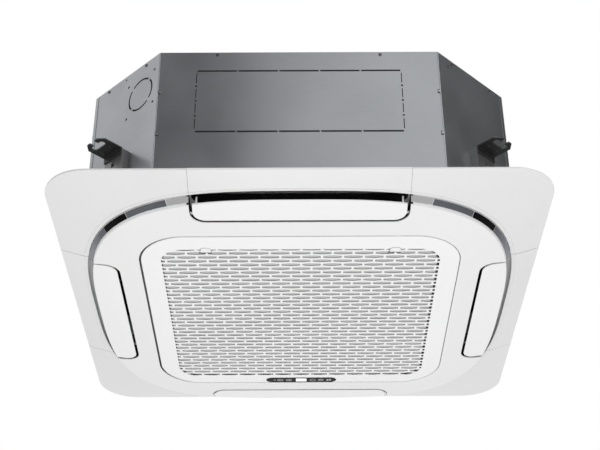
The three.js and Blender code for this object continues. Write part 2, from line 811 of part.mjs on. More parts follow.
// Flare nut that closes a pipe's end, outside the casing, with its bore along X.
function flareNut(pipeRadius) {
  const size = pipeRadius + 8;
  const nut = crossBar(0, 0, size, -flareNutHalf, flareNutHalf, 6);
  const reach = flareNutHalf + overshoot;
  return nut.subtract(crossBar(0, 0, pipeRadius + runGap, -reach, reach, mediumSides));
}

// Room in the pan and the gasket for the air of the front outlet, between two heights.
function airway(low, high) {
  const half = outletHalfLength - 5;
  return box(-half, half, -casingHalf + insulation + 4, -outletInner - 2, low, high);
}

// Foam pan with the coil's trough, a deeper sump at the pipes' corner, the intake and four airways.
function drainPan() {
  const pan = raised(octagon(sheet + 2 * seatGap), panUnder, panTop);
  const low = panUnder - overshoot;
  const high = panTop + overshoot;
  const troughWall = 4; // coil to the sides of its trough
  const trough = ringShape(
    roundedSquare(coilOuter + troughWall, coilCornerRadius + troughWall),
    roundedSquare(coilInner - troughWall, coilCornerRadius - coilThickness - troughWall),
  );
  const sumpStart = coilEnd + 20;
  const sumpInner = coilInner - 30;
  const sumpEnd = casingHalf - chamferLeg / 2 - 30;
  const sumpCorner = 40;
  const sump = raised(outlineOf([
    [sumpStart, sumpEnd], [sumpEnd - sumpCorner, sumpEnd], [sumpEnd, sumpEnd - sumpCorner],
    [sumpEnd, sumpStart], [sumpInner, sumpStart], [sumpStart, sumpInner],
  ]), troughLevel, high);
  const airways = [0, 1, 2, 3].map((side) => turnedAboutZ(airway(low, high), (side * Math.PI) / 2));
  const intake = bar(0, 0, orificeRadius + 36, low, high, largeSides);
  const cuts = [raised(trough, troughLevel, high), outward(sump), intake, ...airways];
  return pan.subtract(joined(cuts));
}

const pumpX = coilEnd + 52;
const pumpY = coilInner - 28;
const pumpRadius = 27;
const pumpHeight = 120;

// Drain pump: a cup that dips in the sump, a wider chamber and the small motor on top.
function drainPump() {
  const foot = troughLevel + seatGap;
  const top = troughLevel + pumpHeight;
  const cup = 16;
  const neck = 20;
  const chamber = foot + 42;
  const lid = foot + 72;
  const body = turned([
    [0, foot], [cup, foot], [neck, chamber - 8], [pumpRadius, chamber], [pumpRadius, lid],
    [neck, lid + 4], [neck, top], [0, top],
  ], mediumSides);
  return moved(body, pumpX, pumpY, 0);
}

const hoseRadius = 7;
const hoseLevel = troughLevel + 64;
const socketInside = 22; // drain socket inside the casing
const socketOutside = 30;

// Hose from the pump's side up to the drain socket, between the two branches of the gas pipe.
function drainHose() {
  const start = pumpY + pumpRadius + 3 * seatGap;
  const socketEnd = casingHalf - sheet - socketInside - 2 * seatGap;
  const end = casingLift + drainHeight;
  const header = cornerPoint(gasHeaderOut, gasPipeOffset, 0);
  const across = (pumpX + drainAcross) / 2;
  const share = (across - coilEnd) / (header.x - coilEnd);
  const back = coilMiddle + share * (header.y - coilMiddle);
  const between = coilBottom + (1.5 * (coilTop - coilBottom)) / bendRows;
  return tube(new THREE.CatmullRomCurve3([
    new THREE.Vector3(pumpX, start, hoseLevel),
    new THREE.Vector3(pumpX, start + hoseRadius, hoseLevel + 1),
    new THREE.Vector3(pumpX + 2, start + 2.3 * hoseRadius, (hoseLevel + between) / 2),
    new THREE.Vector3(across, back, between),
    new THREE.Vector3(drainAcross, socketEnd - 18, end - 8),
    new THREE.Vector3(drainAcross, socketEnd, end),
  ]), hoseRadius, 12);
}

// Flanged spigot that the drain pipe is pushed on, outside the back of the casing.
function drainSocket() {
  const bore = drainRadius - 3;
  const inside = casingHalf - sheet - socketInside;
  const flangeRadius = drainRadius + 9;
  const flange = casingHalf + seatGap;
  const flangeEnd = flange + 3;
  const end = flange + socketOutside;
  const profile = [
    [bore, inside], [drainRadius, inside], [drainRadius, flange], [flangeRadius, flange],
    [flangeRadius, flangeEnd], [drainRadius, flangeEnd], [drainRadius, end], [bore, end],
  ];
  const geometry = shell(turned(profile, mediumSides));
  geometry.rotateX(-Math.PI / 2);
  geometry.translate(drainAcross, 0, casingLift + drainHeight);
  return solid(geometry);
}

const floatX = coilEnd + 120;
const floatY = coilInner - 20;
const floatTravel = 12;
const floatHeight = 18;
const stemRadius = 3.5;
const stemFoot = 3;
const stemTop = stemFoot + 2 * seatGap + floatHeight + floatTravel + 10;

// Float switch: a stem on a foot, with a head that keeps the ring float on it.
function floatStem() {
  const foot = troughLevel + seatGap;
  const stem = turned([
    [0, foot], [14, foot], [14, foot + stemFoot], [stemRadius, foot + stemFoot],
    [stemRadius, foot + stemTop], [9, foot + stemTop], [9, foot + stemTop + 4], [0, foot + stemTop + 4],
  ], mediumSides);
  return moved(stem, floatX, floatY, 0);
}

// Ring float, which rises on the stem with the water.
function floatRing() {
  const low = troughLevel + seatGap + stemFoot + seatGap;
  const high = low + floatHeight;
  const bore = stemRadius + runGap;
  return moved(turned([[bore, low], [12, low], [12, high], [bore, high]], mediumSides), floatX, floatY, 0);
}

const gasPipe = refrigerantPipe(gasPipeRadius, gasPipeHeight, gasPipeOffset, gasHeaderOut, [1, 2], coilMiddle);
const liquidPipe = refrigerantPipe(liquidPipeRadius, liquidPipeHeight, liquidPipeOffset, liquidHeaderOut,
  [3], coilMiddle + bendRadius);
place('coil_fin_pack', finPack(), 'fins');
place('coil_end_back', coilEndPlate(), 'copper');
place('coil_end_right', mirroredAcrossDiagonal(coilEndPlate()), 'copper');
place('gas_pipe', gasPipe, 'copper');
place('liquid_pipe', liquidPipe, 'copper');
for (const [name, radius, level, along] of [
  ['gas_flare_nut', gasPipeRadius, gasPipeHeight, gasPipeOffset],
  ['liquid_flare_nut', liquidPipeRadius, liquidPipeHeight, liquidPipeOffset],
]) {
  const nut = place(name, flareNut(radius), 'brass');
  nut.position.copy(cornerPoint(pipeStub - flareNutHalf, along, level));
  nut.rotation.z = Math.PI / 4;
}
place('drain_pan', drainPan(), 'polystyrene');
place('drain_pump', drainPump(), 'white');
place('drain_hose', drainHose(), 'rubber');
place('drain_socket', drainSocket(), 'white');
place('float_stem', floatStem(), 'white');
place('float_ring', floatRing(), 'black');

// ---------------------------------------------------------------- control box

const controlHalf = 140;
const controlDepth = 80;
const controlHeight = 40;
const controlFront = -coilInner + 8;
const controlBack = controlFront + controlDepth;
const controlTop = panUnder - seatGap - orificeWall - seatGap;
const controlBottom = controlTop - controlHeight;

// A block over the control box's plan, drawn in by an inset.
function controlBlock(inset, low, high) {
  return box(-controlHalf + inset, controlHalf - inset, controlFront + inset, controlBack - inset, low, high);
}

// Steel tray, open below, screwed up under the orifice's flange.
function controlBox() {
  const hollow = controlBlock(sheet, controlBottom - overshoot, controlTop - sheet);
  return controlBlock(0, controlBottom, controlTop).subtract(hollow);
}

function controlCover() {
  const top = controlBottom - seatGap;
  const inset = sheet + seatGap;
  const lipTop = top + 5;
  const lip = controlBlock(inset, top - sheet, lipTop);
  const hollow = controlBlock(inset + sheet, top, lipTop + overshoot);
  return controlBlock(0, top - sheet, top).add(lip.subtract(hollow));
}

// Printed board with its tallest parts, on four posts.
function controlBoard() {
  const left = -110;
  const right = 60;
  const margin = 12;
  const postRadius = 3;
  const under = controlTop - sheet - margin;
  const middle = (controlFront + controlBack) / 2;
  const board = box(left, right, controlFront + margin, controlBack - margin, under - 1.6, under);
  const tallParts = [[-90, 12, 18], [-40, 20, 14], [10, 16, 20], [40, 9, 12]]; // x, half width, depth
  const parts = tallParts.map(([x, half, depth]) =>
    box(x - half, x + half, middle - half, middle + half, under - depth, under - 1));
  const postInset = 2 * postRadius;
  const posts = [left + postInset, right - postInset].flatMap((x) =>
    [controlFront + margin + postInset, controlBack - margin - postInset].map((y) =>
      bar(x, y, postRadius, under - 1, controlTop - sheet - seatGap, 6)));
  return joined([board, ...parts, ...posts]);
}

// Screw terminals for the supply, with a wall between each pair.
function terminalBlock() {
  const top = controlTop - sheet - seatGap;
  const left = 74;
  const pitch = 12;
  const terminals = 4;
  const wall = 2;
  const front = controlFront + 22;
  const back = front + 36;
  const floor = top - 10;
  const walls = [];
  for (let divider = 0; divider <= terminals; divider += 1) {
    const x = left + divider * pitch;
    walls.push(box(x, x + wall, front, back, floor - 12, floor + 2));
  }
  return joined([box(left, left + terminals * pitch + wall, front, back, floor, top), ...walls]);
}

place('control_box', controlBox(), 'galvanised');
place('control_cover', controlCover(), 'galvanised');
place('control_board', controlBoard(), 'board');
place('terminal_block', terminalBlock(), 'black');

// ---------------------------------------------------------------- panel

// The visible skin of the frame, from the rim to the lip above the outlets.
function frameSkin() {
  return loftedRing([
    [rim(0), 0], [rim(0), -rimDrop], [step(-3.5), -bevelDrop], [step(-0.4), -lipDrop],
    [step(-0.4), -lipDrop + 2 * panelWall], [rim(panelWall), -baseWall], [rim(panelWall), 0],
  ]);
}

// The part of a ring that lies in one corner, between the seams beside two outlets.
function cornerBlock(gap) {
  const near = outletHalfLength + gap;
  return box(near, panelHalf + overshoot, near, panelHalf + overshoot, -panelDepth, panelDepth);
}

function allCorners(gap) {
  return joined([0, 1, 2, 3].map((corner) => turnedAboutZ(cornerBlock(gap), (corner * Math.PI) / 2)));
}

const panelDepth = 100; // taller than anything in the panel, for cutting solids

// An outlet's opening in plan on the front side, from its inner edge outwards.
function outletOpening(sideGap, innerGap, reach) {
  const half = outletHalfLength - sideGap;
  const inner = -outletInner - innerGap;
  const radius = outletInnerRadius - innerGap;
  const shape = new THREE.Shape();
  shape.moveTo(half, -reach);
  shape.lineTo(half, inner - radius);
  shape.absarc(half - radius, inner - radius, radius, 0, Math.PI / 2, false);
  shape.absarc(-half + radius, inner - radius, radius, Math.PI / 2, Math.PI, false);
  shape.lineTo(-half, -reach);
  return shape;
}

const intakeHalf = openingHalf - 22.6; // intake duct, inside the grille's opening
const intakeRadius = 50;
const ductWall = 2.5;
const ductGap = 1.5; // end of an outlet to the duct's end wall
const ductTop = -1; // ducts sink this far into the panel's base
const pivotY = -(outletInner + louverInnerGap + pivotFromInner);
const hingeY = grilleHalf - hingeInset;
const hingeX = outletHalfLength - 55;
const hingeBore = hingePin + runGap;
const earHalf = 3; // half width of the grille's ear, between two arms of the panel
const armWall = 3;
const armsHalf = earHalf + seatGap + armWall;

// Walls that lead the air of the front outlet down through the panel.
function outletDuct() {
  const end = outletHalfLength + ductGap;
  const innerFace = -outletInner + ductGap;
  const farEnd = end + ductWall;
  const inner = box(-farEnd, farEnd, innerFace, innerFace + ductWall,
    -outletDrop + panelWall + seatGap, ductTop);
  const reach = farEnd + overshoot;
  const bearing = crossBar(pivotY, -pivotDrop, pinRadius + runGap, -reach, reach);
  const outer = -stepAt(farEnd) + 2 * panelWall + overshoot;
  const ends = [-1, 1].map((side) => {
    const x = side * (end + ductWall / 2);
    return box(x - ductWall / 2, x + ductWall / 2, outer, innerFace + overshoot,
      -edgeDrop + panelWall + seatGap, ductTop);
  });
  return joined([inner, ...ends]).subtract(bearing);
}

// Two hinges behind the intake's wall: in each, two slanting arms with a pin between them.
function hingeArms() {
  const wall = intakeHalf + ductWall / 2;
  const sunk = hingePin / 2;
  const arm = outlineOf([
    [wall, -hingeDrop + 9], [hingeY - sunk, -hingeDrop - sunk], [hingeY + sunk, -hingeDrop + sunk],
    [wall, -hingeDrop + 27],
  ]);
  return joined([-1, 1].flatMap((side) => {
    const middle = side * hingeX;
    const inner = earHalf + seatGap;
    return [
      outward(alongX(arm, middle - armsHalf, middle - inner)),
      outward(alongX(arm, middle + inner, middle + armsHalf)),
      crossBar(hingeY, -hingeDrop, hingePin, middle - armsHalf, middle + armsHalf),
    ];
  }));
}

// White skin, flat base, the intake's wall, four outlet ducts and the hinges' arms, in one moulding.
function panelFrame() {
  const inset = 0.6; // the base, inside the rim's upright edge
  const plan = roundedSquare(panelHalf - inset, rimCornerRadius - inset);
  const base = raised(ringShape(plan, roundedSquare(intakeHalf, intakeRadius)), -baseWall, 0);
  const cut = raised(outletOpening(ductGap, 0, stepHalf - overshoot), -panelDepth, panelDepth, 2);
  const limit = raised(stepOutline(overshoot), -panelDepth, panelDepth);
  const opening = outward(cut).intersect(limit);
  const intake = raised(
    ringShape(
      roundedSquare(intakeHalf + ductWall, intakeRadius + ductWall),
      roundedSquare(intakeHalf, intakeRadius),
    ), -hingeDrop + 7.5, ductTop);
  const sides = [0, 1, 2, 3].map((side) => (side * Math.PI) / 2);
  const openings = joined(sides.map((angle) => turnedAboutZ(opening, angle)));
  const ducts = sides.map((angle) => turnedAboutZ(outletDuct(), angle));
  const skin = frameSkin().subtract(allCorners(-seatGap));
  return joined([base.subtract(openings), intake, hingeArms(), skin, ...ducts]);
}

// Outline of the step as a plan shape, drawn in by an inset.
function stepOutline(inset) {
  return outlineOf(directions.map((angle) => {
    const reach = stepReach(angle, stepHalf - inset);
    return [reach * Math.cos(angle), reach * Math.sin(angle)];
  }));
}

const trimWall = 2.5;
const edgeRound = 1.3; // rounded outer edge of the middle

// The middle of the panel: a crowned ring round the grille with its outer wall, cut at the outlets.
function centreFascia() {
  const face = trimWall + 0.4; // outer wall behind the corner trims
  const back = face + panelWall;
  const top = -baseWall - seatGap;
  const turn = square(outletInner, outletInnerRadius * 2);
  const opening = square(openingHalf, grilleCornerRadius + grilleGap);
  const ring = loftedRing([
    [step(face), top], [step(face), -trimDrop], [step(seatGap), -trimDrop - seatGap],
    [step(0), -edgeDrop + edgeRound], [step(edgeRound), -edgeDrop], [turn, -outletDrop],
    [opening, -openingDrop], [opening, -openingDrop + panelWall], [turn, -outletDrop + panelWall],
    [step(back), -edgeDrop + panelWall], [step(back), top],
  ]);
  const cut = outward(raised(outletOpening(0, 0, panelHalf), -panelDepth, panelDepth, 2));
  const cuts = [0, 1, 2, 3].map((side) => turnedAboutZ(cut, (side * Math.PI) / 2));
  const ductEnd = outletHalfLength + ductGap + ductWall + seatGap;
  const room = box(-ductEnd, ductEnd, -panelHalf, -outletInner - outletInnerRadius,
    -edgeDrop + panelWall, panelDepth);
  const rooms = [0, 1, 2, 3].map((side) => turnedAboutZ(room, (side * Math.PI) / 2));
  return ring.subtract(joined([...cuts, ...rooms]));
}

// Bright trim round one corner of the step, between two outlets.
function cornerTrim() {
  const top = -lipDrop - seatGap;
  const under = -trimDrop + seatGap;
  const ring = loftedRing([[step(0), top], [step(0), under], [step(trimWall), under], [step(trimWall), top]]);
  return ring.intersect(cornerBlock(seatGap));
}

// Foam seal between the panel's base and the casing, round the intake and the four outlets.
function panelGasket() {
  const inner = roundedSquare(intakeHalf - 4, intakeRadius - 4);
  const seal = raised(ringShape(octagon(2), inner), seatGap, casingLift - seatGap);
  const outlet = airway(-overshoot, casingLift + overshoot);
  return seal.subtract(joined([0, 1, 2, 3].map((side) => turnedAboutZ(outlet, (side * Math.PI) / 2))));
}

place('panel_frame', panelFrame(), 'white');
const skinUnderBase = frameSkin().subtract(box(-panelHalf, panelHalf, -panelHalf, panelHalf,
  -baseWall - seatGap, overshoot));
for (let corner = 0; corner < 4; corner += 1) {
  const angle = ((corner + 2) * Math.PI) / 2;
  place(`corner_cover_${corner + 1}`, skinUnderBase.intersect(turnedAboutZ(cornerBlock(0), angle)), 'white');
}
place('centre_fascia', centreFascia(), 'white');
for (let corner = 0; corner < 4; corner += 1) {
  place(`corner_trim_${corner + 1}`, turnedAboutZ(cornerTrim(), ((corner + 2) * Math.PI) / 2), 'trim');
}
place('panel_gasket', panelGasket(), 'foam');

// ---------------------------------------------------------------- louvers and their motors

const bladeHalf = outletHalfLength - louverEndGap;
const fenceX = bladeHalf - fenceInset;

// Blade flush with the middle of the panel, with a fence and a pivot pin near each end.
function louver() {
  const innerEdge = -outletInner - louverInnerGap;
  const opening = outletOpening(louverEndGap, louverInnerGap, panelHalf);
  const plan = outward(raised(opening, -panelDepth, panelDepth, 2));
  const limit = raised(stepOutline(0), -panelDepth, panelDepth);
  const innerLevel = -outletDrop + 0.5;
  const middle = (innerEdge - stepHalf) / 2;
  const middleLevel = (innerLevel - louverEdgeDrop) / 2 - 0.8; // the blade bulges down a little
  const edgeWall = 0.4 * louverThickness;
  const bladeShape = outlineOf([
    [-stepHalf, -louverEdgeDrop + edgeWall], [-stepHalf, -louverEdgeDrop], [middle, middleLevel],
    [innerEdge, innerLevel], [innerEdge, innerLevel + edgeWall],
    [innerEdge - 14, innerLevel + louverThickness], [middle, middleLevel + louverThickness],
  ]);
  const blank = outward(alongX(bladeShape, -bladeHalf - overshoot, bladeHalf + overshoot));
  const blade = blank.intersect(plan).intersect(limit);
  const fenceOuter = -stepAt(fenceX) + 1.5;
  const pinWall = pinRadius + 1;
  const fence = outlineOf([
    [fenceOuter, -lipDrop - 2], [fenceOuter, -louverEdgeDrop], [innerEdge - fenceSetback, innerLevel + edgeWall],
    [pivotY + pinWall, -pivotDrop + pinWall], [pivotY - pinWall, -pivotDrop + pinWall],
  ]);
  const pinEnd = outletHalfLength + ductGap + ductWall;
  const ends = [-1, 1].flatMap((side) => {
    const fenceMiddle = side * fenceX;
    const x0 = Math.min(fenceMiddle, side * pinEnd);
    const x1 = Math.max(fenceMiddle, side * pinEnd);
    return [
      outward(alongX(fence, fenceMiddle - fenceWidth / 2, fenceMiddle + fenceWidth / 2)),
      crossBar(pivotY, -pivotDrop, pinRadius, x0, x1),
    ];
  });
  return joined([blade, ...ends]);
}

// Small gear motor against the duct's end wall, its shaft in line with the louver's pin.
function louverMotor() {
  const canRadius = 13;
  const level = -pivotDrop + 8; // can's axis, above its shaft
  const start = outletHalfLength + ductGap + ductWall + seatGap;
  const can = crossBar(pivotY, level, canRadius, start, start + 15, mediumSides);
  const earHalf = 4;
  const ears = box(start, start + 1.5, pivotY - canRadius - 5, pivotY + canRadius - 2,
    level - earHalf, level + earHalf);
  return can.add(ears);
}

['front', 'right', 'back', 'left'].forEach((name, side) => {
  const group = sideGroup(side);
  place(`louver_${name}`, louver(), 'white', group);
  place(`louver_motor_${name}`, louverMotor(), 'motor', group);
});

// ---------------------------------------------------------------- intake grille

const latchX = 183;
const latchWidth = 20.6;
const latchLength = 11;
const latchTravel = 5;
const latchFront = -fieldHalf - 4;
const displayHalf = 80;
const displayWidth = 27;
const displayY = fieldHalf + 26;
const fieldWall = 2.5;
const filterThickness = 3.6;
const filterMargin = 2; // filter inside the perforated field
const filterWindows = 4; // each way
const borderSlope = (fieldDrop - openingDrop) / grilleBorder;

// Is a slot clear of the two latches and inside the rounded field?
function slotFits(x, y, half) {
  const margin = slotHeight / 2 + 2;
  const reach = fieldHalf - margin;
  const corner = fieldCornerRadius - margin;
  const outX = Math.max(Math.abs(x) + half - (reach - corner), 0);
  const outY = Math.max(Math.abs(y) - (reach - corner), 0);
  const insideCorner = outX === 0 || outY === 0 || Math.hypot(outX, outY) <= corner;
  const nearLatch = Math.abs(Math.abs(x) - latchX) < half + latchWidth && y < latchFront + 24;
  return insideCorner && !nearLatch;
}

// Perforated field: rows of staggered slots, the row's ends cut off at the border.
function perforatedField() {
  const field = roundedSquare(fieldHalf + overshoot, fieldCornerRadius + overshoot);
  const rows = Math.floor((fieldHalf - slotHeight) / slotRowPitch);
  const reach = fieldHalf - slotBridge / 2;
  const endHeight = 0.15 * slotHeight;
  for (let row = -rows; row <= rows; row += 1) {
    const y = row * slotRowPitch;
    const shift = row % 2 === 0 ? 0 : slotColumnPitch / 2;
    const columns = Math.ceil(reach / slotColumnPitch);
    for (let column = -columns; column <= columns; column += 1) {
      const centre = column * slotColumnPitch + shift;
      const left = Math.max(centre - (slotColumnPitch - slotBridge) / 2, -reach);
      const right = Math.min(centre + (slotColumnPitch - slotBridge) / 2, reach);
      const half = (right - left) / 2;
      const middle = (left + right) / 2;
      if (half > slotHeight && slotFits(middle, y, half)) {
        const slot = outlineOf([
          [left, y - endHeight], [middle, y - slotHeight / 2],
          [right, y + endHeight], [middle, y + slotHeight / 2],
        ]);
        field.holes.push(new THREE.Path(slot.getPoints()));
      }
    }
  }
  return raised(field, -fieldDrop, -fieldDrop + fieldWall);
}

function stadium(halfLength, width) {
  const radius = width / 2;
  const shape = new THREE.Shape();
  shape.absarc(halfLength - radius, 0, radius, -Math.PI / 2, Math.PI / 2, false);
  shape.absarc(-halfLength + radius, 0, radius, Math.PI / 2, 1.5 * Math.PI, false);
  return shape;
}

// Something flat, laid in the sloping border under the display.
function onBorder(body) {
  const geometry = shell(body);
  geometry.rotateX(Math.atan(borderSlope));
  geometry.translate(0, displayY, -fieldDrop + (displayY - fieldHalf) * borderSlope);
  return solid(geometry);
}

// White grille: a plain sloping border round the perforated field, with two ears to hang by.
function intakeGrille() {
  const bevel = 1.5; // rounded lower edge
  const edge = square(grilleHalf, grilleCornerRadius);
  const field = square(fieldHalf, fieldCornerRadius);
  const border = loftedRing([
    [edge, -openingDrop + panelWall], [edge, -openingDrop + bevel / 2],
    [square(grilleHalf - bevel, grilleCornerRadius - bevel), -openingDrop],
    [field, -fieldDrop], [field, -fieldDrop + fieldWall],
  ]);
  const earRadius = hingeBore + 1.8;
  const earFoot = -openingDrop + 0.5;
  const ears = [-1, 1].map((side) => {
    const shape = new THREE.Shape();
    shape.moveTo(hingeY - earRadius, earFoot);
    shape.lineTo(hingeY + earRadius, earFoot);
    shape.lineTo(hingeY + earRadius, -hingeDrop);
    shape.absarc(hingeY, -hingeDrop, earRadius, 0, Math.PI, false);
    return outward(alongX(shape, side * hingeX - earHalf, side * hingeX + earHalf));
  });
  const boreHalf = armsHalf + seatGap;
  const bores = [-1, 1].map((side) =>
    crossBar(hingeY, -hingeDrop, hingeBore, side * hingeX - boreHalf, side * hingeX + boreHalf));
  const slotHalf = latchWidth / 2 + seatGap;
  const latchSlots = [-1, 1].map((side) => box(side * latchX - slotHalf, side * latchX + slotHalf,
    latchFront - seatGap, latchFront + latchLength + latchTravel + seatGap, -panelDepth, 0));
  const lensShape = stadium(displayHalf + seatGap, displayWidth + 2 * seatGap);
  const lensHole = onBorder(raised(lensShape, -panelWall, 2 * panelWall));
  return joined([border, perforatedField(), ...ears])
    .subtract(joined([...latchSlots, ...bores, lensHole]));
}

const filterHalf = fieldHalf - filterMargin;
const filterUnder = -fieldDrop + fieldWall + seatGap;

// Filter: a frame with cross ribs and a thin sheet across each of its windows.
function airFilter() {
  const notchEnd = latchFront + latchLength + latchTravel + 6; // room for a latch at the front
  const top = filterUnder + filterThickness;
  const frame = raised(roundedSquare(filterHalf, fieldCornerRadius - filterMargin), filterUnder, top);
  const windows = [];
  const border = 6;
  const rib = 3;
  const pitch = (2 * (filterHalf - border)) / filterWindows;
  for (let column = 0; column < filterWindows; column += 1) {
    for (let row = 0; row < filterWindows; row += 1) {
      const x = -filterHalf + border + (column + 0.5) * pitch;
      const y = -filterHalf + border + (row + 0.5) * pitch;
      const half = (pitch - rib) / 2;
      const atCorner = Math.abs(x) + pitch > filterHalf && Math.abs(y) + pitch > filterHalf;
      const atLatch = Math.abs(Math.abs(x) - latchX) < half + latchWidth && y - half < notchEnd + rib;
      if (!atCorner && !atLatch) {
        windows.push(box(x - half, x + half, y - half, y + half, filterUnder + 1, top + overshoot));
      }
    }
  }
  const notchHalf = latchWidth / 2 + filterMargin;
  const notches = [-1, 1].map((side) => box(side * latchX - notchHalf, side * latchX + notchHalf,
    -fieldHalf, notchEnd, -panelDepth, 0));
  return frame.subtract(joined([...windows, ...notches]));
}

// Sliding latch: a finger pad under the grille and a tongue behind the edge of the opening.
function grilleLatch(side) {
  const left = side * latchX - latchWidth / 2;
  const right = left + latchWidth;
  const backUnder = -openingDrop + panelWall + seatGap;
  const backTop = backUnder + 2.5;
  const latchBack = latchFront + latchLength;
  const pad = box(left, right, latchFront, latchBack, -fieldDrop - 1.6, backTop);
  const noseGap = 0.4; // nose of the tongue to the edge of the opening
  const shoulder = 3;
  const slider = box(left + shoulder, right - shoulder, -openingHalf + noseGap, latchBack, backUnder, backTop);
  return pad.add(slider);
}

place('intake_grille', intakeGrille(), 'white');
place('air_filter', airFilter(), 'mesh');
place('grille_latch_left', grilleLatch(-1), 'white');
place('grille_latch_right', grilleLatch(1), 'white');
const lensTop = 2.2;
const lens = onBorder(raised(stadium(displayHalf, displayWidth), -0.2, lensTop));
place('display_lens', lens, 'black');
const boardHalf = displayHalf - 10;
const boardSide = displayWidth / 3;
const boardUnder = lensTop + seatGap;
const board = onBorder(box(-boardHalf, boardHalf, -boardSide, boardSide, boardUnder, boardUnder + 1.6));
place('display_board', board, 'board');

export default unit;
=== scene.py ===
# Looks of the ceiling cassette air conditioner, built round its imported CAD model.
# Lengths are metres for the camera, the lamps and the finishes, and millimetres for the pieces.
import json
import math

import bmesh
import bpy
import numpy as np
from mathutils import Matrix, Vector


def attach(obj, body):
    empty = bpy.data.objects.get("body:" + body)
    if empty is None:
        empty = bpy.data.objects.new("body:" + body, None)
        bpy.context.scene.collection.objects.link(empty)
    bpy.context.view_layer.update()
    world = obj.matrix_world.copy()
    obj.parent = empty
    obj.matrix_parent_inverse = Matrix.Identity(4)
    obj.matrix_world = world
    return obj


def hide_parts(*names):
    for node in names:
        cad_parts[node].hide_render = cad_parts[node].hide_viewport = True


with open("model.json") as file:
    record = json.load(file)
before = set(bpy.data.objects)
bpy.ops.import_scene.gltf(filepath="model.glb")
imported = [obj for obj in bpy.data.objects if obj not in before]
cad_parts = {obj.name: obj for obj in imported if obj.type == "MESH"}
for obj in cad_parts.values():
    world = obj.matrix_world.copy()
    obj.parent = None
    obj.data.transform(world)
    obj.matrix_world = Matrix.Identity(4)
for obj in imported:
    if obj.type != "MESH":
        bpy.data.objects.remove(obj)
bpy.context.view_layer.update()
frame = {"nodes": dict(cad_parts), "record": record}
scene = bpy.context.scene
scene.view_settings.view_transform = "Standard"

# ---------------------------------------------------------------- camera, lamps and floor
# The unit is seen from the room below it, from in front, through a long lens. Soft lamps stand
# below and beside it over a pale floor, and dark cards stand where its metal would mirror white.


def in_scene(name, data):
    """An object that shows the data, in the scene."""
    made = bpy.data.objects.new(name, data)
    scene.collection.objects.link(made)
    return made


azimuth, elevation, roll = (math.radians(angle) for angle in (0.143, 32.966, -0.319))
ahead = Vector((math.sin(azimuth) * math.cos(elevation), math.cos(azimuth) * math.cos(elevation),
                math.sin(elevation)))
across = Vector((math.cos(azimuth), -math.sin(azimuth), 0))
upward = across.cross(ahead)
level = across * math.cos(roll) + upward * math.sin(roll)
overhead = upward * math.cos(roll) - across * math.sin(roll)
camera = in_scene("camera", bpy.data.cameras.new("camera"))
camera.data.lens = 77.69
camera.data.sensor_width = 36
camera.matrix_world = Matrix((level, overhead, -ahead)).transposed().to_4x4()
camera.location = (-0.0047, -2.3892, -1.3658)
scene.camera = camera


def set_sockets(shader, **values):
    """A shader's sockets set by name, with _ for a space."""
    for name, value in values.items():
        shader.inputs[name.replace("_", " ")].default_value = value


def white_to_the_eye(tree, strength):
    """Strength as given for lighting, and 1 where the camera, gloss or glass sees it."""
    path = tree.nodes.new("ShaderNodeLightPath")
    seen = path.outputs["Is Camera Ray"]
    for ray in ("Is Glossy Ray", "Is Transmission Ray"):
        either = tree.nodes.new("ShaderNodeMath")
        either.operation = "MAXIMUM"
        tree.links.new(seen, either.inputs[0])
        tree.links.new(path.outputs[ray], either.inputs[1])
        seen = either.outputs[0]
    mix = tree.nodes.new("ShaderNodeMix")
    mix.inputs["A"].default_value = strength
    mix.inputs["B"].default_value = 1
    tree.links.new(seen, mix.inputs["Factor"])
    return mix.outputs["Result"]


daylight = 0.63
world = bpy.data.worlds.new("studio")
world.use_nodes = True
scene.world = world
sky = world.node_tree.nodes["Background"]
sky.inputs["Color"].default_value = (1, 1, 1, 1)
world.node_tree.links.new(white_to_the_eye(world.node_tree, daylight), sky.inputs["Strength"])


def soft_lamp(name, at, towards, side, watts):
    """A square lamp."""
    lamp = bpy.data.lights.new(name, "AREA")
    lamp.shape = "RECTANGLE"
    lamp.size, lamp.size_y, lamp.energy = side, side, watts
    holder = in_scene(name, lamp)
    holder.location = at
    holder.rotation_euler = (Vector(towards) - Vector(at)).to_track_quat("-Z", "Y").to_euler()


soft_lamp("low_lamp", (0.2, -0.9, -3.4), (0, 0, 0), 2.4, 50)
soft_lamp("right_front_lamp", (2.2, -2.6, 1.2), (0.2, -0.4, 0.15), 1.0, 30)
soft_lamp("left_lamp", (-3.4, -0.6, 1.4), (-0.3, -0.2, 0.2), 1.4, 5)

card_finish = bpy.data.materials.new("dark_card")
card_finish.use_nodes = True
set_sockets(card_finish.node_tree.nodes["Principled BSDF"], Base_Color=(0.02, 0.02, 0.022, 1),
            Roughness=0.95)


def four_cornered(name, corners, material):
    """A flat sheet of the studio."""
    mesh = bpy.data.meshes.new(name)
    mesh.from_pydata(corners, [], [(0, 1, 2, 3)])
    mesh.materials.append(material)
    made = in_scene(name, mesh)
    return made


def dark_card(name, corners):
    """A card that only gloss and metal see."""
    card = four_cornered(name, corners, card_finish)
    for kind in ("camera", "diffuse", "shadow", "transmission", "volume_scatter"):
        setattr(card, f"visible_{kind}", False)


dark_card("card_front", [(-1.5, -1.2, 0.35), (-0.1, -1.2, 0.35), (-0.1, -1.5, 1.9), (-1.5, -1.5, 1.9)])
dark_card("card_right", [(1.4, -0.9, 0.2), (1.4, 0.45, 0.2), (1.6, 0.45, 2.2), (1.6, -0.9, 2.2)])
dark_card("card_left", [(-2.2, -0.7, 0.5), (-2.2, 0.1, 0.5), (-2.2, 0.1, 1.3), (-2.2, -0.7, 1.3)])

